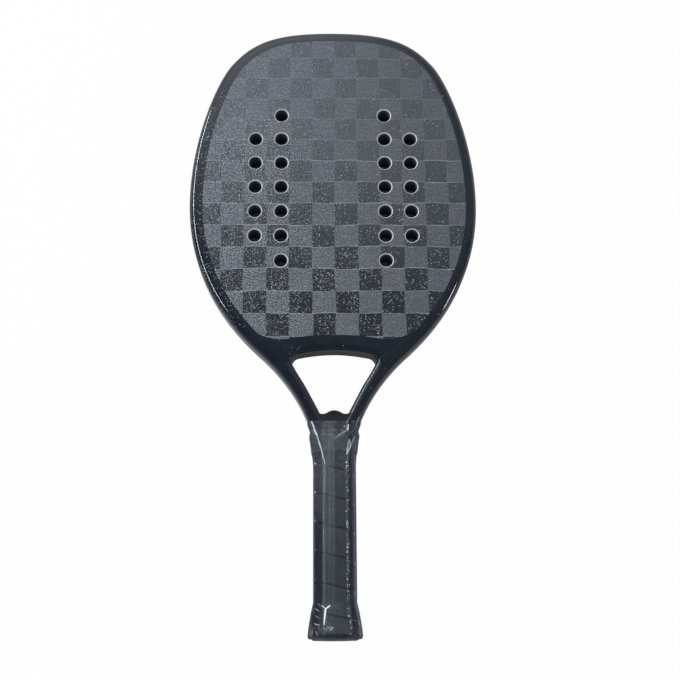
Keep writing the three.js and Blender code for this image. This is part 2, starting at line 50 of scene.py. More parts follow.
camera_data = bpy.data.cameras.new("camera")
camera_data.sensor_width = 36
camera_data.lens = 63.53
camera = bpy.data.objects.new("camera", camera_data)
camera.location = (-0.01445, -0.02862, 0.91603)
camera.rotation_euler = [math.radians(angle) for angle in (15.862, -1.116, -0.3585)]
bpy.context.scene.collection.objects.link(camera)
bpy.context.scene.camera = camera
bpy.context.scene.view_settings.view_transform = "Standard"


# Studio. A white floor that runs up into a low wall all round, under a dark ceiling with
# one broad soft light beyond the head and a slim light bar on each side.

def fill(tree, node, inputs):
    """Fills a node's inputs with values or links."""
    for name, value in inputs.items():
        if isinstance(value, bpy.types.NodeSocket):
            tree.links.new(value, node.inputs[name])
        else:
            node.inputs[name].default_value = value
    return node


def add_node(tree, kind, inputs=None, **settings):
    """Adds a shader node, sets it up, and fills its inputs."""
    node = tree.nodes.new("ShaderNode" + kind)
    for name, value in settings.items():
        setattr(node, name, value)
    return fill(tree, node, inputs or {})


def tree_of(terms):
    """Finds the node tree that the linked ones among some terms are in."""
    return next(term.id_data for term in terms if isinstance(term, bpy.types.NodeSocket))


def maths(operation, *terms):
    """Adds one step of arithmetic and gives back its result."""
    return add_node(tree_of(terms), "Math", dict(enumerate(terms)), operation=operation).outputs[0]


def product(first, *others):
    """Multiplies several values together."""
    for other in others:
        first = maths("MULTIPLY", first, other)
    return first


def mapped(value, from_low, from_high, to_low=0.0, to_high=1.0, smooth=True):
    """Carries a value from one range to another, held at both ends."""
    kind = "SMOOTHSTEP" if smooth else "LINEAR"
    return add_node(value.id_data, "MapRange", {
        "Value": value, "From Min": from_low, "From Max": from_high,
        "To Min": to_low, "To Max": to_high}, interpolation_type=kind).outputs["Result"]


def split(vector):
    """Splits a vector into its three numbers."""
    return add_node(vector.id_data, "SeparateXYZ", {0: vector}).outputs


def mix_shaders(share, first, second):
    """Mixes two shaders by a share."""
    inputs = {0: share, 1: first.outputs[0], 2: second.outputs[0]}
    return add_node(share.id_data, "MixShader", inputs)


ceiling_level = 0.24
softbox_level = 1.6
softbox_spill = 0.2
horizon_level = 0.35
right_level = 0.12
softbox_foot = (0.33, 0.52)
softbox_right = (0.22, -0.06)
softbox_left = (-0.15, -0.6, 1.0, 0.34)
softbox_head = (0.7, 0.9, 1.0, 0.55)
spill_band = (0.22, 0.33)
right_band = (0.05, 0.3)
horizon_band = (0.5, 0.8)
cool_white = (0.9, 0.98, 1.04, 1)

world = bpy.data.worlds.new("studio")
bpy.context.scene.world = world
world.use_nodes = True
sky = world.node_tree
direction = add_node(sky, "TexCoord").outputs["Generated"]
toward = split(direction)
softbox = product(
    mapped(toward[1], *softbox_foot), mapped(toward[0], *softbox_right),
    mapped(toward[0], *softbox_left), mapped(toward[1], *softbox_head))
level = mapped(toward[1], *spill_band, ceiling_level, ceiling_level + softbox_spill)
level = maths("ADD", level, mapped(toward[0], *right_band, 0.0, right_level))
level = maths("ADD", level, mapped(toward[1], *horizon_band, 0.0, horizon_level))
level = maths("MULTIPLY_ADD", softbox, softbox_level, level)
fill(sky, sky.nodes["Background"], {"Strength": level, "Color": cool_white})

bar_aim = Vector((0, 0.2, 0))


def light_bar(name, start, end, width, level):
    """Hangs a slim lamp between two points, faces it to the racket, and sets how it glows."""
    start, end = Vector(start), Vector(end)
    place = (start + end) / 2
    along = (end - start).normalized()
    back = (place - bar_aim).normalized()
    across = along.cross(back).normalized()
    data = bpy.data.lights.new(name, "AREA")
    data.shape = "RECTANGLE"
    data.size, data.size_y = width, (end - start).length
    data.energy = level * math.pi * data.size * data.size_y
    lamp = bpy.data.objects.new(name, data)
    lamp.location = place
    lamp.rotation_euler = Matrix((across, along, across.cross(along))).transposed().to_euler()
    bpy.context.scene.collection.objects.link(lamp)


light_bar("left_bar", (-0.95, 0.13, 1.06), (-0.95, 1.22, 0.492), 0.04, 58)
light_bar("right_bar", (0.95, 0.03, 0.4), (0.95, 0.27, 0.72), 0.03, 45)

floor_reach = 2.6
floor_segments = 64
wall_height = 0.75
wall_sweep = 0.5
sweep_steps = 8
butt_low = -0.0176
head_low = -0.0112
butt_to_head = 0.49
floor_tilt = math.atan2(head_low - butt_low, butt_to_head)


def edit_whole():
    """Goes to edit mode with the whole piece selected."""
    bpy.ops.object.mode_set(mode="EDIT")
    bpy.ops.mesh.select_all(action="SELECT")


bpy.ops.mesh.primitive_circle_add(vertices=floor_segments, radius=floor_reach, fill_type="NGON")
floor = bpy.context.object
floor.name = "floor"
edit_whole()
bpy.ops.mesh.select_mode(type="EDGE")
bpy.ops.mesh.region_to_loop()
for step in range(sweep_steps):
    angles = [math.pi / 2 * share / sweep_steps for share in (step, step + 1)]
    outward = wall_sweep * (math.sin(angles[1]) - math.sin(angles[0]))
    upward = wall_sweep * (math.cos(angles[0]) - math.cos(angles[1]))
    reach = floor_reach + wall_sweep * math.sin(angles[0])
    bpy.ops.mesh.extrude_region_move(TRANSFORM_OT_translate={"value": (0, 0, upward)})
    bpy.ops.transform.resize(value=((reach + outward) / reach, (reach + outward) / reach, 1))
bpy.ops.mesh.extrude_region_move(TRANSFORM_OT_translate={"value": (0, 0, wall_height - wall_sweep)})
bpy.ops.object.mode_set(mode="OBJECT")
bpy.ops.object.shade_smooth()
floor.location = (0, 0, butt_low)
floor.rotation_euler = (floor_tilt, 0, 0)

# The camera sees the paper as white, but for a small share that keeps the racket's shadow.
# The paper under the head is painted dark, a painted shadow, so that the holes look dark.
floor_white = 0.92
seen_white = 0.975
painted_shadow_under_head = 0.012
head_patch = (0.36, 0.1, 0.12)
racket_patch = (0.25, 0.18, 0.32)

paper = bpy.data.materials.new("floor_paper")
paper.use_nodes = True
tree = paper.node_tree
tree.nodes.clear()
place = add_node(tree, "TexCoord").outputs["Object"]


def clear_of(middle, wide, high):
    """Gives 1 where the paper lies outside an upright ellipse, and 0 inside it."""
    shifted = add_node(tree, "Mapping", {"Vector": place, "Location": (0, -middle, 0)})
    narrowed = add_node(tree, "Mapping", {"Vector": shifted.outputs[0], "Scale": (1 / wide, 1 / high, 0)})
    reach = add_node(tree, "VectorMath", {0: narrowed.outputs[0]}, operation="LENGTH")
    return mapped(reach.outputs["Value"], 0.95, 1.0)


path = add_node(tree, "LightPath").outputs
clear_of_head = clear_of(*head_patch)
by_camera = product(path["Is Camera Ray"], mapped(clear_of_head, 0, 1, 1.0, seen_white, False))
in_mirrors = maths("MAXIMUM", path["Is Glossy Ray"], path["Is Transmission Ray"])
seen = maths("MAXIMUM", by_camera, product(in_mirrors, clear_of(*racket_patch)))
# Painted shadow: the paper's white turns dark under the head.
lit = mapped(clear_of_head, 0, 1, painted_shadow_under_head, 1.0, False)
paper_lit = add_node(tree, "Emission", {"Color": lit, "Strength": 1.0})
paper_rough = add_node(tree, "BsdfDiffuse", {"Color": (*[floor_white] * 3, 1), "Roughness": 0.5})
paper_front = mix_shaders(seen, paper_rough, paper_lit)
behind = add_node(tree, "NewGeometry").outputs["Backfacing"]
clear = add_node(tree, "BsdfTransparent")
paper_sided = mix_shaders(behind, paper_front, clear)
add_node(tree, "OutputMaterial", {"Surface": paper_sided.outputs[0]})
floor.data.materials.append(paper)


# Hoop and legs. One hollow carbon tube, moulded round the head and on down into the handle,
# under a blue-black lacquer that is polished like a car's paint.

front_level = 0.011
rim_width = 0.0093
window_slim = 0.995
window_shift = 0.001
rim_reach = 0.007
rim_depth = 0.005
throat_reach = 0.0048
throat_depth = 0.0038
leg_foot = 0.124
bar_end = 0.008
overrun = 0.005
clearance = 0.00004
merge_reach = 1e-6
nearly_level = 0.99
quite_level = 0.9999
moulded_angle = 35
round_steps = 8
hoop_steps = 26
foot_steps = 12
wall_steps = 10

# Each knot is a point of the outer edge's right half with the handles before and after it.
hoop_knots = (
    ((0.0133, 0.1), (0.0133, 0.1), (0.0133, 0.106)),
    ((0.0133, 0.128), (0.0133, 0.122), (0.0133, 0.15995)),
    ((0.05807, 0.218), (0.03082, 0.19312), (0.09255, 0.24949)),
    ((0.1166, 0.347), (0.1166, 0.29037), (0.1166, 0.40499)),
    ((0.08488, 0.46909), (0.09492, 0.45652), (0.0675, 0.49087)),
    ((0, 0.5), (0.04897, 0.5), (-0.04897, 0.5)),
)

# The wall of the opening between the legs, from which rounds reach out to both fronts.
wall_knots = (
    ((0, 0.1475), (0, 0.1475), (0, 0.1475)),
    ((0.0061, 0.16), None, None),
    ((0.012, 0.1723), None, None),
    ((0.017, 0.182), None, None),
    ((0.0223, 0.192), None, None),
    ((0.0289, 0.203), None, None),
    ((0.0331, 0.2108), (0.0322, 0.2088), (0.0337, 0.2122)),
    ((0.0281, 0.218), (0.0316, 0.2173), (0.0196, 0.2197)),
    ((0, 0.2211), (0.0095, 0.2211), (-0.0095, 0.2211)),
)

# The lower edge of the window that the faces fill, and the room above it.
foot_knots = (
    ((0, 0.2325), (-0.012, 0.2325), (0.012, 0.2325)),
    ((0.0206, 0.2319), (0.014, 0.2325), (0.029, 0.2311)),
    ((0.0425, 0.2292), (0.036, 0.2292), (0.047, 0.2292)),
    ((0.0588, 0.2335), (0.0545, 0.2308), (0.066, 0.238)),
    ((0.08, 0.2465), (0.074, 0.243), (0.08, 0.2465)),
    ((0.13, 0.2465), (0.13, 0.2465), (0.13, 0.2465)),
    ((0.13, 0.51), (0.13, 0.51), (0.13, 0.51)),
)


def flat_outline(name, knots, steps):
    """Adds a curve through the knots and turns it into a flat outline of vertices."""
    bpy.ops.curve.primitive_bezier_curve_add()
    curve = bpy.context.object
    curve.name = name
    curve.data.resolution_u = steps
    spline = curve.data.splines[0]
    spline.bezier_points.add(len(knots) - len(spline.bezier_points))
    spline.use_cyclic_u = True
    for knot, (point, before, after) in zip(spline.bezier_points, knots):
        knot.handle_left_type = knot.handle_right_type = "FREE" if before else "AUTO"
        knot.co = (*point, 0)
        if before:
            knot.handle_left = (*before, 0)
            knot.handle_right = (*after, 0)
    bpy.ops.object.convert(target="MESH")
    return bpy.context.object


def on_both_sides(right_knots):
    """Carries the knots of the right half on round the left half."""
    def turned(pair):
        """Carries one point over, or leaves an open handle open."""
        return pair and (-pair[0], pair[1])
    left = [(turned(point), turned(after), turned(before)) for point, before, after in right_knots]
    return [*right_knots, *(knot for knot in reversed(left) if knot[0][0] < 0)]


def fill_outline():
    """Goes to edit mode and fills an outline with one face."""
    bpy.ops.object.mode_set(mode="EDIT")
    bpy.ops.mesh.select_mode(type="VERT")
    bpy.ops.mesh.select_all(action="SELECT")
    bpy.ops.mesh.remove_doubles(threshold=merge_reach)
    bpy.ops.mesh.edge_face_add()


def turn_outwards():
    """Turns all faces outwards and leaves edit mode."""
    bpy.ops.mesh.select_all(action="SELECT")
    bpy.ops.mesh.normals_make_consistent(inside=False)
    bpy.ops.object.mode_set(mode="OBJECT")


def prism(outline, low, high):
    """Fills an outline and raises it between two levels."""
    fill_outline()
    bpy.ops.transform.translate(value=(0, 0, low))
    bpy.ops.mesh.extrude_region_move(TRANSFORM_OT_translate={"value": (0, 0, high - low)})
    turn_outwards()
    return outline


def select_faces(piece, test):
    """Selects the faces whose middle and normal pass a test, and goes to edit mode."""
    bpy.ops.object.mode_set(mode="EDIT")
    bpy.ops.mesh.select_mode(type="FACE")
    bpy.ops.mesh.select_all(action="DESELECT")
    bpy.ops.object.mode_set(mode="OBJECT")
    for face in piece.data.polygons:
        face.select = test(face.center, face.normal)
    bpy.ops.object.mode_set(mode="EDIT")


def round_over(piece, side, reach, depth, steps):
    """Carries one flat end of a prism on through a quarter round."""
    select_faces(piece, lambda middle, normal: normal.z * side > nearly_level)
    for step in range(steps):
        angles = [math.pi / 2 * share / steps for share in (step, step + 1)]
        bpy.ops.mesh.inset(
            thickness=reach * (math.cos(angles[0]) - math.cos(angles[1])),
            depth=depth * (math.sin(angles[1]) - math.sin(angles[0])),
            use_even_offset=True)
    bpy.ops.object.mode_set(mode="OBJECT")


def modified(piece, kind, **settings):
    """Adds a modifier to a piece, sets it up, and applies it."""
    step = piece.modifiers.new("step", kind)
    for name, value in settings.items():
        setattr(step, name, value)
    bpy.context.view_layer.objects.active = piece
    bpy.ops.object.modifier_apply(modifier=step.name)
    return piece


def combine(piece, tool, operation):
    """Cuts, adds or crosses a piece with a tool, and clears the tool away."""
    modified(piece, "BOOLEAN", object=tool, operation=operation, solver="EXACT")
    bpy.data.objects.remove(tool)
    return piece


def only(piece):
    """Makes one piece the only one that is selected and active."""
    bpy.ops.object.select_all(action="DESELECT")
    piece.select_set(True)
    bpy.context.view_layer.objects.active = piece
    return piece


def copy_of(piece, name):
    """Copies a piece with a mesh of its own."""
    only(piece)
    bpy.ops.object.duplicate()
    copy = bpy.context.object
    copy.name = name
    return copy


def keep_rim(kind):
    """Deletes all but the chosen face, then the face itself but not its rim."""
    bpy.ops.mesh.select_all(action="INVERT")
    bpy.ops.mesh.delete(type=kind)
    bpy.ops.mesh.select_all(action="SELECT")
    bpy.ops.mesh.delete(type="ONLY_FACE")
    bpy.ops.object.mode_set(mode="OBJECT")


def moved_in(outline, distance):
    """Moves an outline's edge inwards by the same distance all round."""
    fill_outline()
    bpy.ops.mesh.inset(thickness=distance, use_even_offset=True)
    keep_rim("VERT")
    return outline


def end_outline(piece, name):
    """Copies the outline of a prism's flat end on to the middle plane."""
    copy = copy_of(piece, name)
    select_faces(copy, lambda middle, normal: normal.z > quite_level)
    keep_rim("FACE")
    for corner in copy.data.vertices:
        corner.co.z = 0
    return copy


def wrapped(name, around, along, place):
    """Adds a flat grid and bends it into a tube, row by row."""
    bpy.ops.mesh.primitive_grid_add(x_subdivisions=around, y_subdivisions=along, size=2)
    sheet = bpy.context.object
    sheet.name = name
    for corner in sheet.data.vertices:
        corner.co = place((corner.co.x + 1) / 2, (corner.co.y + 1) / 2)
    edit_whole()
    bpy.ops.mesh.remove_doubles(threshold=merge_reach)
    turn_outwards()
    return sheet


def close_up(piece):
    """Joins the rows that meet, fills the open ends, and turns all faces outwards."""
    edit_whole()
    bpy.ops.mesh.remove_doubles(threshold=merge_reach)
    bpy.ops.mesh.fill_holes(sides=0)
    turn_outwards()
    return piece


hoop_edge = flat_outline("hoop", on_both_sides(hoop_knots), hoop_steps)
window = copy_of(hoop_edge, "window")
hoop = prism(only(hoop_edge), rim_depth - front_level, front_level - rim_depth)
for side in (-1, 1):
    round_over(hoop, side, rim_reach, rim_depth, round_steps)
edit_whole()
bpy.ops.mesh.bisect(plane_co=(0, leg_foot, 0), plane_no=(0, -1, 0), clear_outer=True, use_fill=True)
turn_outwards()

window = moved_in(only(window), rim_width)
for corner in window.data.vertices:
    corner.co.x = window_slim * corner.co.x + window_shift
window = prism(window, -2 * front_level, 2 * front_level)
foot = flat_outline("foot", on_both_sides(foot_knots), foot_steps)
foot = prism(foot, -3 * front_level, 3 * front_level)
window = combine(window, foot, "INTERSECT")
hoop = combine(hoop, copy_of(window, "window_tool"), "DIFFERENCE")

wall = flat_outline("wall", on_both_sides(wall_knots), wall_steps)
wall_points = [corner.co.copy() for corner in wall.data.vertices]
bpy.data.objects.remove(wall)
quarter = [math.pi / 2 * step / round_steps for step in range(round_steps + 1)]
bay_rows = [(front_level - throat_depth * (1 - math.sin(angle)), throat_reach * (1 - math.cos(angle)))
            for angle in quarter]
bay_rows.append((front_level + overrun, throat_reach))
bay_rows = [*((-level, reach) for level, reach in reversed(bay_rows)), *bay_rows]


def on_bay(turn, share):
    """Gives a point on the wall between the legs, or on the rounds that it runs out in."""
    index = round(turn * len(wall_points)) % len(wall_points)
    before, point, after = (wall_points[(index + step) % len(wall_points)] for step in (-1, 0, 1))
    run = (after - before).normalized()
    level, reach = bay_rows[round(share * (len(bay_rows) - 1))]
    return point + Vector((run.y * reach, -run.x * reach, level))


bay = close_up(wrapped("bay", len(wall_points), len(bay_rows) - 1, on_bay))
hoop = combine(hoop, copy_of(bay, "bay_tool"), "DIFFERENCE")

handle_wide = 0.0133
handle_deep = 0.011
front_flat = 0.0076
side_flat = 0.0055
leg_chamfer = 0.0029
corner_softness = 0.0011
softness_growth = 0.7
leg_steps = 60
shaft_height = 0.128
chamfer_end = 0.156
butt_reach = 0.0041
butt_depth_reach = 0.0036
flare_height = 0.027
flare_heights = (0, 0.15, 0.33, 0.55, 0.76, 0.96, 1)
flare_reaches = (1, 0.98, 0.86, 0.62, 0.38, 0.07, 0)
corner_steps = 4
side_steps = 3
points_round = 8 * (corner_steps + side_steps)


def blended(position, stops, values):
    """Reads a value between the stops that a position lies between."""
    for low, high, start, end in zip(stops, stops[1:], values, values[1:]):
        if position <= high:
            share = max(0.0, (position - low) / (high - low))
            return start + (end - start) * share
    return values[-1]


leg_start, leg_end = hoop_knots[1], hoop_knots[2]
leg_path = []
for step in range(leg_steps + 1):
    share = step / leg_steps
    left = 1 - share
    shares = (left ** 3, 3 * left ** 2 * share, 3 * left * share ** 2, share ** 3)
    corners = (leg_start[0], leg_start[2], leg_end[1], leg_end[0])
    leg_path.append([sum(part * corner[axis] for part, corner in zip(shares, corners)) for axis in (0, 1)])
leg_heights = [height for half, height in leg_path]
leg_halves = [half for half, height in leg_path]


def handle_corners(height, grow):
    """Gives the eight corners of the handle's section, as pairs across and deep."""
    if height <= shaft_height:
        flare = blended(height / flare_height, flare_heights, flare_reaches)
        wide, deep = handle_wide + butt_reach * flare, handle_deep + butt_depth_reach * flare
        flat, side = front_flat, side_flat
    else:
        share = min(1, (height - shaft_height) / (chamfer_end - shaft_height))
        wide, deep = blended(height, leg_heights, leg_halves), handle_deep
        flat = wide - (handle_wide - front_flat) * (1 - share) - leg_chamfer * share
        side = deep - (handle_deep - side_flat) * (1 - share) - leg_chamfer * share
    slant = grow * math.tan(math.pi / 8)
    wide, deep, flat, side = wide + grow, deep + grow, flat + slant, side + slant
    return [(wide, side), (flat, deep), (-flat, deep), (-wide, side),
            (-wide, -side), (-flat, -deep), (flat, -deep), (wide, -side)]


def on_handle(turn, height, grow):
    """Gives a point on the handle, at a share of a turn from the right flank over the front."""
    corners = handle_corners(height, grow)
    softness = corner_softness + softness_growth * max(0, grow)
    index = round(turn * points_round) % points_round
    number, step = divmod(index, corner_steps + side_steps)
    before, corner, after = (Vector(corners[(number + turned) % 8]) for turned in (-1, 0, 1))
    start = corner + (before - corner).normalized() * softness
    end = corner + (after - corner).normalized() * softness
    if step <= corner_steps:
        share = step / corner_steps
        point = start.lerp(corner, share).lerp(corner.lerp(end, share), share)
    else:
        next_start = after + (corner - after).normalized() * softness
        point = end.lerp(next_start, (step - corner_steps) / side_steps)
    return Vector((point.x, height, point.y))


def bar_through(name, heights, grow):
    """Makes a closed bar of the handle's section through some heights."""
    rows = len(heights) - 1

    def on_bar(turn, share):
        """Gives a point on the bar, in the row that a share of its length falls on."""
        return on_handle(turn, heights[round(share * rows)], grow)
    return close_up(wrapped(name, points_round, rows, on_bar))


def block(name, low, high):
    """Adds a box between two corners."""
    middle = [(start + end) / 2 for start, end in zip(low, high)]
    size = [end - start for start, end in zip(low, high)]
    bpy.ops.mesh.primitive_cube_add(size=1, location=middle)
    box = bpy.context.object
    box.name = name
    box.scale = size
    bpy.ops.object.transform_apply(location=True, rotation=True, scale=True)
    return box


# The legs lose their corners to the handle's eight sides, and run down inside it as two half bars.
neck_heights = (0.12, 0.128, 0.133, 0.138, 0.143, 0.148, 0.152, 0.156, 0.162)
waste_foot = 0.09
past_leg = 0.1
past_front = 0.02
bar_top = 0.126
bar_inset = 0.0023
slit_half = 0.0004
slit_top = 0.152
neck_waste = block("neck_waste", (-past_leg, waste_foot, -past_front), (past_leg, chamfer_end, past_front))
neck_waste = combine(neck_waste, bar_through("neck", neck_heights, 0), "DIFFERENCE")
hoop = combine(hoop, neck_waste, "DIFFERENCE")
leg_bars = bar_through("leg_bars", (flare_height, bar_top), -bar_inset)
select_faces(leg_bars, lambda middle, normal: normal.y < -nearly_level)
bpy.ops.transform.translate(value=(0, bar_end - flare_height, 0))
bpy.ops.object.mode_set(mode="OBJECT")
hoop = combine(hoop, leg_bars, "UNION")
slit = block("slit", (-slit_half, 0, -past_front), (slit_half, slit_top, past_front))
hoop = combine(hoop, slit, "DIFFERENCE")

# The bridge is moulded separately and bonded between the legs, with a crease at each lower corner.
joint_foot = (0.0338, 0.21605)
joint_head = (0.0518, 0.2385)
crease_start = (0.0345, 0.2135)
crease_end = (0.0445, 0.2213)
crease_size = 0.0013
crease_edges = 20
joint_knots = [((x, y), (x, y), (x, y)) for x, y in (
    (0, 0.205), (0.0315, 0.205), joint_foot, joint_head, (0, joint_head[1]))]


def bridge_room(name):
    """Makes the block of space that the bridge has between the legs."""
    return prism(flat_outline(name, on_both_sides(joint_knots), 1), -past_front, past_front)


for side in (-1, 1):
    for face in (-1, 1):
        start = Vector((side * crease_start[0], crease_start[1], face * front_level))
        end = Vector((side * crease_end[0], crease_end[1], face * front_level))
        run = end - start
        bpy.ops.mesh.primitive_cone_add(
            vertices=crease_edges, radius1=crease_size, radius2=0, depth=run.length,
            location=(start + end) / 2, rotation=run.to_track_quat("Z", "Y").to_euler())
        hoop = combine(hoop, bpy.context.object, "DIFFERENCE")

bridge = combine(copy_of(hoop, "bridge"), bridge_room("bridge_room"), "INTERSECT")
hoop = combine(only(hoop), bridge_room("bridge_room"), "DIFFERENCE")


def tone(red, green, blue):
    """Turns a colour as a screen shows it, 0 to 255, into the light that it stands for."""
    shares = (part / 255 for part in (red, green, blue))
    linear = (part / 12.92 if part <= 0.04045 else ((part + 0.055) / 1.055) ** 2.4 for part in shares)
    return (*linear, 1.0)


def new_material(name):
    """Starts a material, and gives back its node tree, its main shader and the place on the piece."""
    material = bpy.data.materials.new(name)
    material.use_nodes = True
    tree = material.node_tree
    place = add_node(tree, "TexCoord").outputs["Object"]
    return material, tree, tree.nodes["Principled BSDF"], place


def finish_piece(piece, material, node, angle=moulded_angle):
    """Shades a piece smooth but for its sharp edges, with its flats kept flat. Then gives it its
    material and slot, lets it ride, and hides the CAD node it stands for."""
    only(piece)
    bpy.ops.object.shade_smooth_by_angle(angle=math.radians(angle), keep_sharp_edges=False)
    modified(piece, "WEIGHTED_NORMAL", keep_sharp=True)
    piece.data.materials.clear()
    piece.data.materials.append(material)
    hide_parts(node)
    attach(piece, "root")


def node_group(name, inputs, outputs):
    """Starts a shader node group with named inputs and outputs."""
    group = bpy.data.node_groups.new(name, "ShaderNodeTree")
    for label, kind, value in inputs:
        socket = group.interface.new_socket(name=label, in_out="INPUT", socket_type="NodeSocket" + kind)
        if value is not None:
            socket.default_value = value
    for label in outputs:
        group.interface.new_socket(name=label, in_out="OUTPUT", socket_type="NodeSocketFloat")
    return group, group.nodes.new("NodeGroupInput").outputs, group.nodes.new("NodeGroupOutput")


def noise(place, per_metre, detail, output="Fac"):
    """Gives a cloudy pattern over a place."""
    inputs = {"Vector": place, "Scale": per_metre, "Detail": detail}
    return add_node(place.id_data, "TexNoise", inputs).outputs[output]


def blend_colour(share, first, second):
    """Mixes two colours by a share. Sockets 6, 7 and 2 are the ones for colours."""
    return add_node(share.id_data, "Mix", {0: share, 6: first, 7: second}, data_type="RGBA").outputs[2]


def coat(shader, colour, roughness, height, strength, depth):
    """Gives a material its colour and roughness, and its relief by a height."""
    tree = shader.id_data
    bump = add_node(tree, "Bump", {"Height": height, "Strength": strength, "Distance": depth})
    fill(tree, shader, {"Base Color": colour, "Roughness": roughness, "Normal": bump.outputs[0]})


# Grit: grains of hard sand that the paint holds, of all sizes, some of them bare and bright.
grit, grit_in, grit_out = node_group("grit", [
    ("Place", "Vector", None), ("Grains per metre", "Float", 900.0), ("Share", "Float", 0.4),
    ("Size", "Float", 0.35)], ("Mask", "Height"))
grains = add_node(grit, "TexVoronoi", {
    "Vector": grit_in["Place"], "Scale": grit_in["Grains per metre"]}).outputs
luck = add_node(grit, "SeparateColor", {0: grains["Color"]}).outputs
chosen = maths("LESS_THAN", luck[0], grit_in["Share"])
reach = product(grit_in["Size"], mapped(luck[1], 0, 1, 0.35, 1.0, False))
grain = mapped(maths("DIVIDE", grains["Distance"], reach), 1.0, 0.35)
brightness = mapped(luck[2], 0, 1, 0.25, 1.0, False)
fill(grit, grit_out, {"Mask": product(grain, chosen, brightness), "Height": grain})


def speckle(place, per_metre, share, size):
    """Places the grit group and gives back its outputs."""
    return add_node(place.id_data, "Group", {
        "Place": place, "Grains per metre": per_metre, "Share": share, "Size": size}, node_tree=grit).outputs


deep_lacquer = tone(13, 22, 33)
pale_lacquer = tone(19, 30, 43)
bare_grain = tone(205, 211, 217)

lacquer, tree, shader, place = new_material("lacquer")
where = split(place)
flakes = noise(place, 90.0, 6.0)
left_rim = product(
    mapped(where[0], -0.045, -0.065), mapped(where[1], 0.232, 0.255), mapped(where[1], 0.455, 0.42))
sand = speckle(place, 700.0, maths("MULTIPLY_ADD", left_rim, 0.8, 0.02), 0.46)
body = blend_colour(mapped(flakes, 0.35, 0.7), deep_lacquer, pale_lacquer)
body = blend_colour(product(sand["Mask"], 0.7), body, bare_grain)
orange_peel = maths("MULTIPLY_ADD", sand["Mask"], 1.5, noise(place, 260.0, 2.0))
coat(shader, body, mapped(flakes, 0.3, 0.7, 0.05, 0.09), orange_peel, 0.02, 0.001)

finish_piece(hoop, lacquer, "frame_tube")


# Bridge. A short arched tube of the same carbon, bonded between the legs under the face
# and lacquered together with the hoop.

finish_piece(bridge, lacquer, "throat_bridge")


# Filler. A wedge of resin putty moulded between the legs where they meet, a little below
# their fronts, with a waved upper edge left by its mould.

filler_level = 0.0103
filler_edge = 0.0009
filler_edge_steps = 4
filler_corner = 60
wave_knots = (
    ((0, 0.1724), (-0.002, 0.1724), (0.002, 0.1724)),
    ((0.0039, 0.1715), None, None),
    ((0.0078, 0.1697), None, None),
    ((0.0125, 0.1706), (0.0102, 0.1697), (0.0142, 0.1714)),
    ((0.03, 0.1706), (0.03, 0.1706), (0.03, 0.1706)),
    ((0.03, 0.1523), (0.03, 0.1523), (0.03, 0.1523)),
)
filler = prism(flat_outline("filler", on_both_sides(wave_knots), wall_steps), -filler_level, filler_level)
modified(
    filler, "BEVEL", width=filler_edge, segments=filler_edge_steps,
    limit_method="ANGLE", angle_limit=math.radians(filler_corner))
filler = combine(filler, copy_of(bay, "wedge"), "INTERSECT")


def clouded(name, grain, low, tones, roughness, strength, depth):
    """Makes a finish that varies a little in tone, roughness and height with a cloudy grain."""
    material, tree, shader, place = new_material(name)
    cloud = noise(place, *grain)
    body = blend_colour(mapped(cloud, low, 0.7), *tones)
    coat(shader, body, mapped(cloud, 0.3, 0.7, *roughness), cloud, strength, depth)
    return material, shader


putty_tones = (tone(15, 21, 28), tone(22, 28, 36))
putty, shader = clouded("filler_putty", (160.0, 5.0), 0.35, putty_tones, (0.24, 0.34), 0.1, 0.001)
finish_piece(filler, putty, "throat_filler")
bpy.data.objects.remove(bay)


# Core. A slab of closed-cell foam, cut to fill the head and glued between the face sheets.
# The 24 holes are drilled through all of them at once, in two columns on each side.

hole_centre = 0.3583
hole_pitch = 0.02115
hole_columns = ((2, 3), (3, 2))
bore_radius = 0.0054
core_level = 0.0095
core_inset = 0.0033
core_edges = 40
drill_length = 0.05
hole_places = [
    (side * column * hole_pitch, hole_centre + row * hole_pitch)
    for column, reach in hole_columns
    for row in range(-reach, reach + 1)
    for side in (-1, 1)
]


def drilled(piece, radius, edges):
    """Drills the 24 holes through a sheet or slab."""
    bpy.ops.object.select_all(action="DESELECT")
    bits = []
    for x, y in hole_places:
        bpy.ops.mesh.primitive_cylinder_add(
            vertices=edges, radius=radius, depth=drill_length, location=(x, y, 0))
        bits.append(bpy.context.object)
    for bit in bits:
        bit.select_set(True)
    bpy.ops.object.join()
    bpy.ops.object.transform_apply(location=True, rotation=True, scale=True)
    return combine(piece, bpy.context.object, "DIFFERENCE")


face_edge = end_outline(window, "face_edge")
bpy.data.objects.remove(window)
core = prism(moved_in(copy_of(face_edge, "core"), core_inset), -core_level, core_level)
core = drilled(core, bore_radius, core_edges)


def foamed(name, cells_per_metre, tones, roughness, strength, depth):
    """Makes a foam of closed cells, with one tone in their middles and one at their walls."""
    material, tree, shader, place = new_material(name)
    cells = add_node(tree, "TexVoronoi", {"Vector": place, "Scale": cells_per_metre}).outputs["Distance"]
    body = blend_colour(mapped(cells, 0.1, 0.7), *tones)
    coat(shader, body, roughness, cells, strength, depth)
    return material


foam_tones = (tone(112, 119, 133), tone(82, 88, 100))
foam = foamed("core_foam", 2600.0, foam_tones, 0.9, 0.4, 0.0004)
finish_piece(core, foam, "eva_core")


# Glass fibre layers. Under each carbon face lies a sheet of glass fibre. Where a hole is
# countersunk, the slope cuts through it and shows as a pale ring.

hole_radius = 0.00534
ring_radius = 0.0061
ply_low = 0.0096
ply_high = 0.0102
ring_top = 0.01092
ring_foot = 0.0099
ring_edges = 48
plain_glass = tone(214, 217, 220)
bright_glass = tone(248, 249, 250)

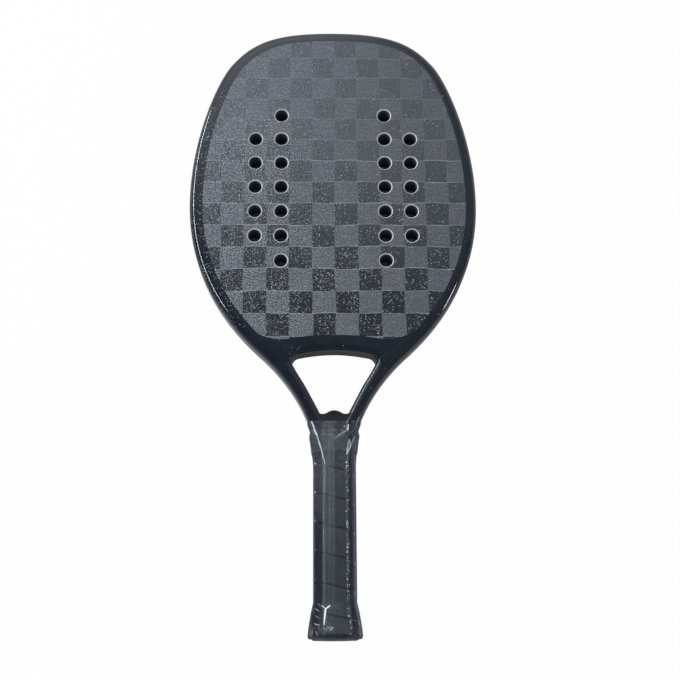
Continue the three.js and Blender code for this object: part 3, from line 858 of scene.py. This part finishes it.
glass, tree, shader, place = new_material("glass_fibre")
strands = noise(place, 1500.0, 3.0)
patches = noise(place, 260.0, 2.0)
cut = product(mapped(strands, 0.3, 0.7), mapped(patches, 0.3, 0.6, 0.3, 1.0))
coat(shader, blend_colour(cut, plain_glass, bright_glass), 0.55, strands, 0.3, 0.0003)


def countersunk_ring(x, y, side):
    """Makes the ring of glass fibre round one hole, which slopes down into it."""
    bpy.ops.mesh.primitive_cylinder_add(
        vertices=ring_edges, radius=ring_radius, depth=ring_top - ply_low,
        location=(x, y, side * (ring_top + ply_low) / 2))
    ring = bpy.context.object
    bpy.ops.object.transform_apply(location=True, rotation=True, scale=True)
    select_faces(ring, lambda middle, normal: normal.z * side > nearly_level)
    bpy.ops.mesh.inset(thickness=ring_radius - hole_radius, depth=ring_foot - ring_top)
    bpy.ops.mesh.delete(type="ONLY_FACE")
    bpy.ops.object.mode_set(mode="OBJECT")
    select_faces(ring, lambda middle, normal: normal.z * side < -nearly_level)
    bpy.ops.mesh.delete(type="ONLY_FACE")
    bpy.ops.mesh.select_mode(type="EDGE")
    bpy.ops.mesh.select_non_manifold()
    bpy.ops.mesh.bridge_edge_loops()
    turn_outwards()
    return ring


for side, name in ((1, "front"), (-1, "back")):
    levels = sorted((side * ply_low, side * ply_high))
    ply = prism(copy_of(face_edge, "glass_" + name), *levels)
    ply = drilled(ply, ring_radius + clearance, core_edges)
    bpy.ops.object.select_all(action="DESELECT")
    rings = [countersunk_ring(x, y, side) for x, y in hole_places]
    for piece in (*rings, ply):
        piece.select_set(True)
    bpy.context.view_layer.objects.active = ply
    bpy.ops.object.join()
    finish_piece(ply, glass, "glass_ply_" + name)


# Faces. Flat carbon tows woven into a checker of squares, under a satin coat with grit in it.
# Tows that run across the racket catch the light, and the others stay dark near the bridge but get a painted
# sheen towards the top. Painted shade also darkens the face from its left side to its right.

face_low = 0.0103
face_high = 0.01098
square_wide = 0.0184
square_high = 0.0187
square_corner = (0.0015, 0.2315)
fibres_per_metre = 1100.0
fibre_stretch = 0.09


def vectors(operation, *terms, output=0):
    """Adds one step of arithmetic on vectors and gives back its result."""
    node = add_node(tree_of(terms), "VectorMath", dict(enumerate(terms)), operation=operation)
    return node.outputs[output]


def scaled(vector, share):
    """Scales a vector or a colour."""
    return add_node(vector.id_data, "VectorMath", {0: vector, "Scale": share}, operation="SCALE").outputs[0]


def shaken(place, per_metre, detail, reach):
    """Moves a place a little to and fro, so that the lines on it wander."""
    wander = vectors("SUBTRACT", noise(place, per_metre, detail, "Color"), (0.5, 0.5, 0.5))
    return vectors("MULTIPLY_ADD", wander, (reach, reach, 0), place)


tows, tows_in, tows_out = node_group(
    "tow_checker", [("Place", "Vector", None)], ("Across", "Seam", "Fibres", "Step"))
corner = vectors("SUBTRACT", shaken(tows_in["Place"], 34.0, 1.0, 0.0032), (*square_corner, 0))
cells = vectors("MULTIPLY", corner, (1 / square_wide, 1 / square_high, 0))
cell = split(cells)
column, row = (maths("FLOOR", cell[axis]) for axis in (0, 1))
odd = maths("PINGPONG", maths("ADD", column, row), 1.0)
across = maths("SUBTRACT", 1.0, odd)
column_edge, row_edge = (
    maths("PINGPONG", maths("FRACT", cell[axis]), 0.5) for axis in (0, 1))
seam = maths("MAXIMUM", mapped(column_edge, 0.022, 0.004), mapped(row_edge, 0.022, 0.004))
down_fibres, cross_fibres = (
    noise(vectors("MULTIPLY", tows_in["Place"], stretch), fibres_per_metre, 4.0)
    for stretch in ((1.0, fibre_stretch, 1.0), (fibre_stretch, 1.0, 1.0)))
fibres = maths("MULTIPLY_ADD", cross_fibres, across, product(down_fibres, odd))
tow_step = product(mapped(row_edge, 0.04, 0.0), across)
fill(tows, tows_out, {"Across": across, "Seam": seam, "Fibres": fibres, "Step": tow_step})

# Painted light: painted shade falls from the face's left side to its right, and the dark tows get a painted
# sheen from the bridge to the top.
left_side, right_side = -0.08, 0.08
cross_tow = tone(108, 111, 119)
down_tow = tone(26, 33, 43)
down_tow_painted_sheen = tone(96, 100, 108)
seam_tone = tone(120, 126, 134)
step_tone = tone(176, 182, 191)
sand_tone = tone(214, 219, 225)
pale_speck_tone = tone(190, 196, 203)

carbon, tree, shader, place = new_material("carbon_face")
where = split(place)
weave = add_node(tree, "Group", {"Place": place}, node_tree=tows).outputs
# Painted sheen: the dark tows pale from the bridge to the top, and painted light lifts them at the lower
# right.
dark_tow_with_painted_light = blend_colour(mapped(where[1], 0.25, 0.42), down_tow, down_tow_painted_sheen)
painted_light_low_right = product(mapped(where[0], 0.0, 0.08), mapped(where[1], 0.35, 0.29))
dark_tow_with_painted_light = scaled(dark_tow_with_painted_light, maths("MULTIPLY_ADD", painted_light_low_right, 0.5, 1.0))
body = blend_colour(weave["Across"], dark_tow_with_painted_light, cross_tow)
fine = noise(place, 1000.0, 2.0)
gritty = product(mapped(where[0], 0.03, -0.06, 0.25, 1.0), mapped(where[1], 0.43, 0.37, 0.15, 1.0))
coarse = maths("MULTIPLY_ADD", mapped(fine, 0.41, 0.59, -0.75, 0.45, False), gritty, 1.0)
# Painted shade: besides the fibre and grain, the face darkens from its left side to its right.
shade = product(
    mapped(weave["Fibres"], 0.3, 0.7, 0.8, 1.2, False),
    mapped(fine, 0.3, 0.7, 0.55, 1.45, False), coarse,
    mapped(where[0], right_side, left_side, 0.69, 1.04, False))
body = blend_colour(product(weave["Seam"], 0.25), scaled(body, shade), seam_tone)
cloud = noise(place, 70.0, 5.0)
lifted = product(
    weave["Step"], mapped(cloud, 0.42, 0.6, 0.3, 1.0), mapped(where[1], 0.43, 0.36, 0.3, 1.0))
body = blend_colour(lifted, body, step_tone)
on_left = product(mapped(where[0], -0.03, -0.06), mapped(where[1], 0.45, 0.4))
not_high = maths("MAXIMUM", on_left, mapped(where[1], 0.38, 0.29, 0.1, 1.0))
sown = product(
    mapped(where[0], 0.08, -0.07, 0.45, 0.8), mapped(cloud, 0.35, 0.6, 0.5, 1.0), not_high)
sand = speckle(place, 880.0, sown, 0.55)
# Pale specks, more of them and brighter towards the face's left side.
pale_specks = speckle(place, 900.0, mapped(where[0], right_side, left_side, 0.45, 0.9), 0.5)
on_dark = product(sand["Mask"], mapped(weave["Across"], 0, 1, 1.0, 0.4))
body = blend_colour(on_dark, body, sand_tone)
pale_speck_share = product(pale_specks["Mask"], mapped(where[0], 0.06, -0.06, 0.22, 0.55))
body = blend_colour(pale_speck_share, body, pale_speck_tone)
height = maths("MULTIPLY_ADD", weave["Fibres"], 0.25, sand["Height"])
height = maths("MULTIPLY_ADD", weave["Seam"], -0.8, height)
satin = maths("MULTIPLY_ADD", weave["Across"], -0.06, 0.52)
coat(shader, body, satin, height, 0.22, 0.00035)
shader.inputs["Specular IOR Level"].default_value = 0.35

for side, name in ((1, "front"), (-1, "back")):
    levels = sorted((side * face_low, side * face_high))
    face = prism(copy_of(face_edge, "face_" + name), *levels)
    face = drilled(face, ring_radius + clearance, ring_edges)
    finish_piece(face, carbon, "face_" + name)
bpy.data.objects.remove(face_edge)


# Butt cap. A cup of satin plastic over the end of the handle, with a flat end and a lip
# that the strip starts against.

lip_height = 0.0036
lip_reach = 0.0018
lip_inset = 0.003
cap_profile = (
    (0, lip_reach - lip_inset), (0.0004, lip_reach - 0.7 * lip_inset),
    (0.0011, lip_reach - 0.35 * lip_inset), (0.0019, lip_reach - 0.12 * lip_inset),
    (0.0027, lip_reach), (lip_height, lip_reach), (lip_height, 0),
    (0.0089, 0), (0.0149, 0), (0.0205, 0), (0.0259, 0), (flare_height, 0),
    (flare_height, -0.0006), (0.0259, -0.0007), (0.003, -0.0007),
)
rows = len(cap_profile) - 1
inner_rows = 3


def on_cap(turn, share):
    """Gives a point on the cap, whose last rows run down inside it."""
    row = round(share * rows)
    height, grow = cap_profile[row]
    inside = row > rows - inner_rows
    section = 0 if height <= lip_height else height
    point = on_handle(turn, shaft_height if inside else section, grow)
    return Vector((point.x, height, point.z))


cap = close_up(wrapped("butt_cap", points_round, rows, on_cap))

plastic_tones = (tone(26, 31, 38), tone(34, 40, 48))
plastic, shader = clouded("cap_plastic", (1400.0, 4.0), 0.3, plastic_tones, (0.42, 0.55), 0.25, 0.0003)
finish_piece(cap, plastic, "butt_cap")


# Base grip. One cushioned strip of polyurethane, wound up the handle from the cap with its
# turns edge to edge, and skived thin at its upper end.

grip_gap = 0.0003
grip_thickness = 0.0015
grip_pitch = 0.022
seam_height = 0.0179
seam_gap = 0.0009
grip_start = 0.0039
grip_top = 0.1527
tape_width = 0.0127
strip_end_share = 0.4
strip_tip = 0.0015
strip_turns = range(-2, 9)
front_share = 0.25
plain_height = 0.05
wound_angle = 50
strip_shares = (0, 0.012, 0.03, 0.06, 0.2, 0.35, 0.5, 0.65, 0.8, 0.94, 0.97, 0.988, 1, 1, 0, 0)
strip_rows = len(strip_shares) - 1
inner_strip_rows = (13, 14)
edge_fall = 0.0006
edge_run = 0.0017

ring = [
    on_handle(step / points_round, plain_height, grip_gap + grip_thickness)
    for step in range(points_round + 1)]
steps = [(start - end).length for start, end in zip(ring, ring[1:])]
travelled = [sum(steps[:count]) / sum(steps) for count in range(points_round + 1)]
columns = []
for turn in strip_turns:
    for step in range(points_round):
        seam = seam_height + grip_pitch * (turn + travelled[step] - front_share - 1) + seam_gap / 2
        low = max(grip_start, seam)
        high = min(grip_top, seam + grip_pitch - seam_gap)
        if high - low > strip_tip:
            columns.append((step / points_round, low, high))
strip_stations = len(columns) - 1


def strip_thickness(height):
    """Gives the strip's thickness, which thins towards its upper end."""
    below_top = min(1, max(0, (grip_top - height) / tape_width))
    return grip_thickness * (strip_end_share + (1 - strip_end_share) * below_top)


def on_strip(along, over):
    """Gives a point on the strip, at a share of its run and a share of the way round it."""
    turn, low, high = columns[round(along * strip_stations)]
    row = round(over * strip_rows)
    height = low + (high - low) * strip_shares[row]
    if row in inner_strip_rows:
        return on_handle(turn, height, grip_gap)
    to_edge = min(height - low, high - height)
    fall = edge_fall * max(0, 1 - to_edge / edge_run) ** 2
    return on_handle(turn, height, grip_gap + strip_thickness(height) * (1 - fall / grip_thickness))


grip = close_up(wrapped("base_grip", strip_stations, strip_rows, on_strip))

strip_tones = (tone(47, 52, 61), tone(57, 62, 72))
pore_tone = tone(27, 31, 36)

strip, tree, shader, place = new_material("grip_strip")
pores = add_node(tree, "TexVoronoi", {"Vector": place, "Scale": 1500.0}).outputs["Distance"]
cloud = noise(place, 120.0, 4.0)
body = blend_colour(mapped(cloud, 0.3, 0.7), *strip_tones)
body = blend_colour(mapped(pores, 0.5, 0.8, 0.0, 0.5), body, pore_tone)
across = split(place)[0]
# Painted shade: the strip darkens on its left flank, and a little on its right one.
painted_flank_shade = product(mapped(across, -0.0118, -0.0085, 0.45, 1.0), mapped(across, 0.0085, 0.011, 1.0, 0.85))
strip_rough = mapped(cloud, 0.3, 0.7, 0.6, 0.75)
coat(shader, scaled(body, painted_flank_shade), strip_rough, pores, 0.3, 0.0004)
shader.inputs["Specular IOR Level"].default_value = 0.15
finish_piece(grip, strip, "base_grip", wound_angle)


# Finishing tape. Thin vinyl tape with a satin surface, wrapped round the strip's upper end
# to hold it down on the handle.

tape_thickness = 0.0003
tape_gap = 0.00025
tape_rows = 8


def on_tape(turn, share):
    """Gives a point on the outer side of the tape."""
    height = grip_top - tape_width * (1 - share)
    return on_handle(turn, height, grip_gap + strip_thickness(height) + tape_gap + tape_thickness)


tape = wrapped("finishing_tape", points_round, tape_rows, on_tape)
modified(tape, "SOLIDIFY", thickness=tape_thickness, offset=-1)

tape_tones = (tone(46, 51, 60), tone(57, 62, 72))
vinyl, shader = clouded("tape_vinyl", (300.0, 4.0), 0.3, tape_tones, (0.5, 0.6), 0.15, 0.0004)
shader.inputs["Specular IOR Level"].default_value = 0.2
finish_piece(tape, vinyl, "finishing_tape", wound_angle)


# Clear sleeve. Shrink film that keeps the handle clean until it is sold, with a welded seam
# down the front, small creases where it pulls tight, and its end folded in under the butt. Painted highlights
# lie along its folds and ridges, and painted shade on its flanks.

film_gap = 0.0004
film_thickness = 0.0003
film_top = 0.1638
film_rows = 150
film_on_legs = 0.157
film_off_strip = film_gap + film_thickness
film_grow = grip_gap + grip_thickness + film_gap + film_thickness
left_slack = 0.0006
right_slack = 0.0008
slack_band = (0.013, 0.016)
tape_foot = grip_top - tape_width
tape_step = 0.002
lip_rows = ((0.0011, 0.35), (0.0015, 0.22), (0.0019, 0.12), (0.0027, 0), (lip_height, 0))


def film_stand(height):
    """How far the film's outer side stands off the handle's own section at a height."""
    taped = grip_gap + strip_thickness(height) + tape_gap + tape_thickness + film_gap + film_thickness
    to_taped = blended(height, (tape_foot - tape_step, tape_foot + tape_step), (0, 1))
    to_legs = blended(height, (grip_top, film_on_legs), (0, 1))
    over_grip = film_grow + (taped - film_grow) * to_taped
    return over_grip * (1 - to_legs) + (grip_gap + film_thickness) * to_legs


def on_film(turn, share):
    """Gives a point on the outer side of the film, which hangs a little slack at the sides."""
    row = round(share * film_rows)
    if row < len(lip_rows):
        height, inset = lip_rows[row]
        point = on_handle(turn, 0, lip_reach - lip_inset * inset + film_off_strip)
    else:
        first = lip_rows[-1][0]
        height = first + (film_top - first) * (row - len(lip_rows) + 1) / (film_rows - len(lip_rows) + 1)
        point = on_handle(turn, height, film_stand(height))
    slack = left_slack if point.x < 0 else right_slack
    slack *= blended(abs(point.x), slack_band, (0, 1)) * blended(height, (grip_top, film_on_legs), (1, 0))
    return Vector((point.x + math.copysign(slack, point.x), height, point.z))


film = wrapped("film_sleeve", points_round, film_rows, on_film)
outward = sum(face.normal.x * face.center.x + face.normal.z * face.center.z for face in film.data.polygons)
modified(film, "SOLIDIFY", thickness=film_thickness, offset=-1 if outward > 0 else 1)

# Pale line: a line drawn milky on the film from one point to another. It serves for the welded seam and for
# painted highlights along folds and ridges.
pale_line, pale_line_in, pale_line_out = node_group("pale_line", [
    ("Place", "Vector", None), ("Start", "Vector", None), ("Run", "Vector", None),
    ("Width", "Float", 0.0005)], ["Mask"])
flat_place = vectors("MULTIPLY", pale_line_in["Place"], (1, 1, 0))
from_start = vectors("SUBTRACT", flat_place, pale_line_in["Start"])
down_run, whole_run = (
    vectors("DOT_PRODUCT", term, pale_line_in["Run"], output="Value") for term in (from_start, pale_line_in["Run"]))
part = mapped(maths("DIVIDE", down_run, whole_run), 0.0, 1.0, 0.0, 1.0, False)
away = vectors("SUBTRACT", from_start, scaled(pale_line_in["Run"], part))
away = vectors("LENGTH", away, output="Value")
thin_end = product(pale_line_in["Width"], mapped(part, 0.6, 1.0, 1.0, 0.4, False))
fill(pale_line, pale_line_out, {"Mask": mapped(maths("DIVIDE", away, thin_end), 1.0, 0.2)})

# Each line has its two ends, in millimetres across and up the front, its width and its strength. The four
# faint ones just left of the middle are the welded seam; all the others are painted highlights on the film's
# ridges, folds and wrinkles.
seam_and_highlight_lines = (
    ((-17.5, 163.2), (-11.6, 147.2), 0.6, 1.0),
    ((-11.6, 147.2), (-7.2, 129.6), 0.55, 0.9),
    ((-7.2, 129.6), (-7.6, 108), 0.55, 0.4),
    ((-7.7, 129), (-7.8, 27), 1.7, 0.1),
    ((10.8, 160.4), (10.4, 156.6), 0.7, 1.0),
    ((9.5, 158.6), (10.4, 156.4), 0.5, 1.0),
    ((10.2, 156.8), (0.2, 149.6), 1.1, 0.3),
    ((-3.9, 163), (-4, 60), 1.1, 0.16),
    ((-1.1, 163), (-1.2, 60), 0.9, 0.13),
    ((-3.9, 100), (-4.6, 8), 0.8, 0.08),
    ((-1.4, 62), (-1.8, 10), 1.6, 0.06),
    ((9.4, 137.4), (12.5, 143.6), 0.5, 0.9),
    ((12.5, 143.6), (11.4, 149.2), 0.5, 0.7),
    ((9.4, 137.4), (9.9, 144), 0.5, 0.9),
    ((9.9, 144), (11.4, 149.2), 0.45, 0.6),
    ((11, 141), (11.1, 146.4), 1.3, 0.3),
    ((9.4, 137), (9.2, 60), 0.35, 0.15),
    ((-9.9, 24.8), (-6.9, 22.2), 0.6, 0.7),
    ((-4.3, 24.5), (-6.9, 22.2), 0.9, 1.0),
    ((-6.9, 22.6), (-8.4, 10.6), 0.95, 1.0),
    ((-3.6, 9.6), (-2.2, 6.6), 0.6, 0.5),
    ((-5.6, 9.2), (-6.8, 5.8), 0.6, 0.35),
    ((-9, 8.4), (-6.4, 7), 0.6, 0.35),
    ((-5.8, 9.6), (-3.4, 7.2), 0.6, 0.4),
    ((-4, 6.6), (-1.2, 9.2), 0.6, 0.45),
    ((-12.8, 8.8), (-10.4, 7.2), 0.5, 0.3),
    ((-6.2, 17), (-6.8, 8.2), 0.5, 0.2),
    ((-15.4, 12), (-11.6, 10.4), 0.5, 0.6),
    ((-14.2, 17.4), (-11.9, 15.2), 0.4, 0.4),
    ((-14.4, 22.6), (-12.4, 20.6), 0.4, 0.5),
    ((-12.6, 26.6), (-11.2, 24.6), 0.4, 0.4),
    ((-13.9, 6.2), (-13.2, 3.2), 0.4, 0.5),
    ((13.8, 14.6), (16.2, 13.4), 0.4, 0.25),
)

# The share of the film that is drawn milky white: its own haze and welded seam, and painted highlights and
# reflections on its folds, ridges, right corner and the left half of its front. Outward runs from -1 at the
# film's left side to 1 at its right one.
millimetre = 0.001
flare_band = (0.034, 0.006)
plain_white = (1, 1, 1, 1)
milky_tone = tone(214, 220, 229)
mirror_tint = (0.7, 0.74, 0.8, 1)
band_shade_tint = (0.48, 0.55, 0.63, 1)
side_shade_tint = (0.24, 0.28, 0.34, 1)
film_index = 1.26

clear_film, tree, shader, place = new_material("clear_film")
where = split(place)
in_front = maths("GREATER_THAN", where[2], 0.0)
ruffled = noise(place, 420.0, 3.0)
wandering = shaken(place, 300.0, 2.0, 0.0014)
high_up = mapped(where[1], 0.07, 0.158, 0.3, 1.0)
# Painted reflection: the left half of the front is drawn milkier, more so higher up.
on_left = product(mapped(where[0], 0.0008, 0.0), mapped(where[0], -0.0102, -0.0086))
haze_and_highlights = maths("MULTIPLY_ADD", on_left, mapped(where[1], 0.02, 0.12, 0.015, 0.055), 0.008)
haze_and_highlights = maths("MULTIPLY_ADD", high_up, 0.042, haze_and_highlights)
haze_and_highlights = maths("MULTIPLY_ADD", mapped(where[1], 0.014, 0.006), 0.02, haze_and_highlights)
haze_and_highlights = product(haze_and_highlights, mapped(ruffled, 0.35, 0.65, 0.6, 1.4), in_front)
for start, end, width, strength in seam_and_highlight_lines:
    start, end = (Vector((*point, 0)) * millimetre for point in (start, end))
    line_mask = add_node(tree, "Group", {
        "Place": wandering, "Start": start, "Run": end - start, "Width": width * millimetre},
        node_tree=pale_line)
    haze_and_highlights = maths("MAXIMUM", haze_and_highlights, product(line_mask.outputs["Mask"], in_front, strength))
outward = maths("DIVIDE", where[0], mapped(where[1], *flare_band, 0.0158, 0.0198))
on_side = product(mapped(outward, 0.84, 0.9), mapped(where[1], 0.032, 0.02, 0.035, 0.08))
haze_and_highlights = maths("ADD", haze_and_highlights, on_side)

# Painted glints along the right front corner, and painted reflection streaks down the left flank.
corner_at = mapped(where[1], *flare_band, 0.6, 0.54)
off_corner = maths("ABSOLUTE", maths("SUBTRACT", outward, corner_at))
on_corner = product(mapped(off_corner, 0.1, 0.07), mapped(where[1], 0.137, 0.131))
painted_glints = speckle(place, 700.0, 0.8, 0.62)["Mask"]
haze_and_highlights = maths("MAXIMUM", haze_and_highlights, product(painted_glints, on_corner, 1.1))
streaks = noise(vectors("MULTIPLY", place, (1, 0.12, 1)), 700.0, 3.0)
on_flank = product(mapped(where[0], -0.0148, -0.0155), mapped(where[2], 0.0, 0.003))
streaks = product(mapped(streaks, 0.52, 0.68), on_flank, 0.22)
haze_and_highlights = maths("MAXIMUM", haze_and_highlights, streaks)
haze_and_highlight_tone = blend_colour(mapped(haze_and_highlights, 0.4, 0.9), milky_tone, plain_white)
fill(tree, shader, {"Base Color": haze_and_highlight_tone, "Roughness": 0.3})

height = product(noise(place, 1100.0, 2.0), on_corner, 0.15)
height = maths("MULTIPLY_ADD", ruffled, mapped(where[1], 0.143, 0.15, 0.35, 0.0), height)
bump = add_node(tree, "Bump", {"Height": height, "Strength": 0.3, "Distance": 0.0006}).outputs[0]
gloss = add_node(tree, "BsdfGlossy", {"Color": mirror_tint, "Roughness": 0.1, "Normal": bump})

# Painted shade: bands where less light comes through the film, on both flanks, on the right leg and along the
# butt's lip.
shaded_bands = product(mapped(outward, 0.66, 0.71), mapped(outward, 0.86, 0.82))
for band in (
        product(mapped(outward, -0.63, -0.67, 0.0, 0.8), mapped(where[1], 0.1, 0.075)),
        product(mapped(where[0], 0.0112, 0.0125), mapped(where[1], 0.148, 0.153)),
        mapped(where[1], 0.0045, 0.0035)):
    shaded_bands = maths("MAXIMUM", shaded_bands, band)
clear_tint = blend_colour(product(shaded_bands, in_front), plain_white, band_shade_tint)
edge_on = add_node(tree, "LayerWeight", {"Blend": 0.5}).outputs["Facing"]
# Painted shade: both sides of the film darken where they are seen edge-on.
at_side = product(mapped(maths("ABSOLUTE", outward), 0.86, 0.98), mapped(edge_on, 0.3, 0.55))
clear_tint = blend_colour(at_side, clear_tint, side_shade_tint)
through = add_node(tree, "BsdfTransparent", {"Color": clear_tint})
mirror = add_node(tree, "Fresnel", {"IOR": film_index, "Normal": bump}).outputs[0]
mirror = product(mirror, mapped(edge_on, 0.5, 0.85, 1.0, 0.3))
clear = mix_shaders(mirror, through, gloss)
hazed_and_highlighted = mix_shaders(haze_and_highlights, clear, shader)
inner_side = add_node(tree, "NewGeometry").outputs["Backfacing"]
whole = mix_shaders(inner_side, hazed_and_highlighted, through)
fill(tree, tree.nodes["Material Output"], {"Surface": whole.outputs[0]})
finish_piece(film, clear_film, "film_sleeve", wound_angle)


# Hidden pieces. The foam in the hoop and bridge, the foam shells that shape the handle, and
# the staples through the cap keep the frame's own shapes and get their finishes here.

rigid_tones = (tone(222, 220, 210), tone(186, 183, 170))
shell_tones = (tone(34, 36, 40), tone(24, 26, 29))
wire_tones = (tone(186, 188, 190), tone(150, 152, 155))
rigid = foamed("tube_foam", 1200.0, rigid_tones, 0.9, 0.4, 0.0006)
shell = foamed("pallet_foam", 1500.0, shell_tones, 0.85, 0.35, 0.0005)

wire, tree, shader, place = new_material("staple_wire")
drawn = noise(place, 2400.0, 2.0)
body = blend_colour(mapped(drawn, 0.3, 0.7), *wire_tones)
wire_rough = mapped(drawn, 0.3, 0.7, 0.25, 0.45)
fill(tree, shader, {"Base Color": body, "Roughness": wire_rough, "Metallic": 1.0})

for material, names in (
        (rigid, ("frame_foam", "bridge_foam")),
        (shell, ("handle_pallet_front", "handle_pallet_back")),
        (wire, ("butt_staple_right", "butt_staple_left"))):
    for name in names:
        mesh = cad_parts[name].data
        mesh.materials.clear()
        mesh.materials.append(material)
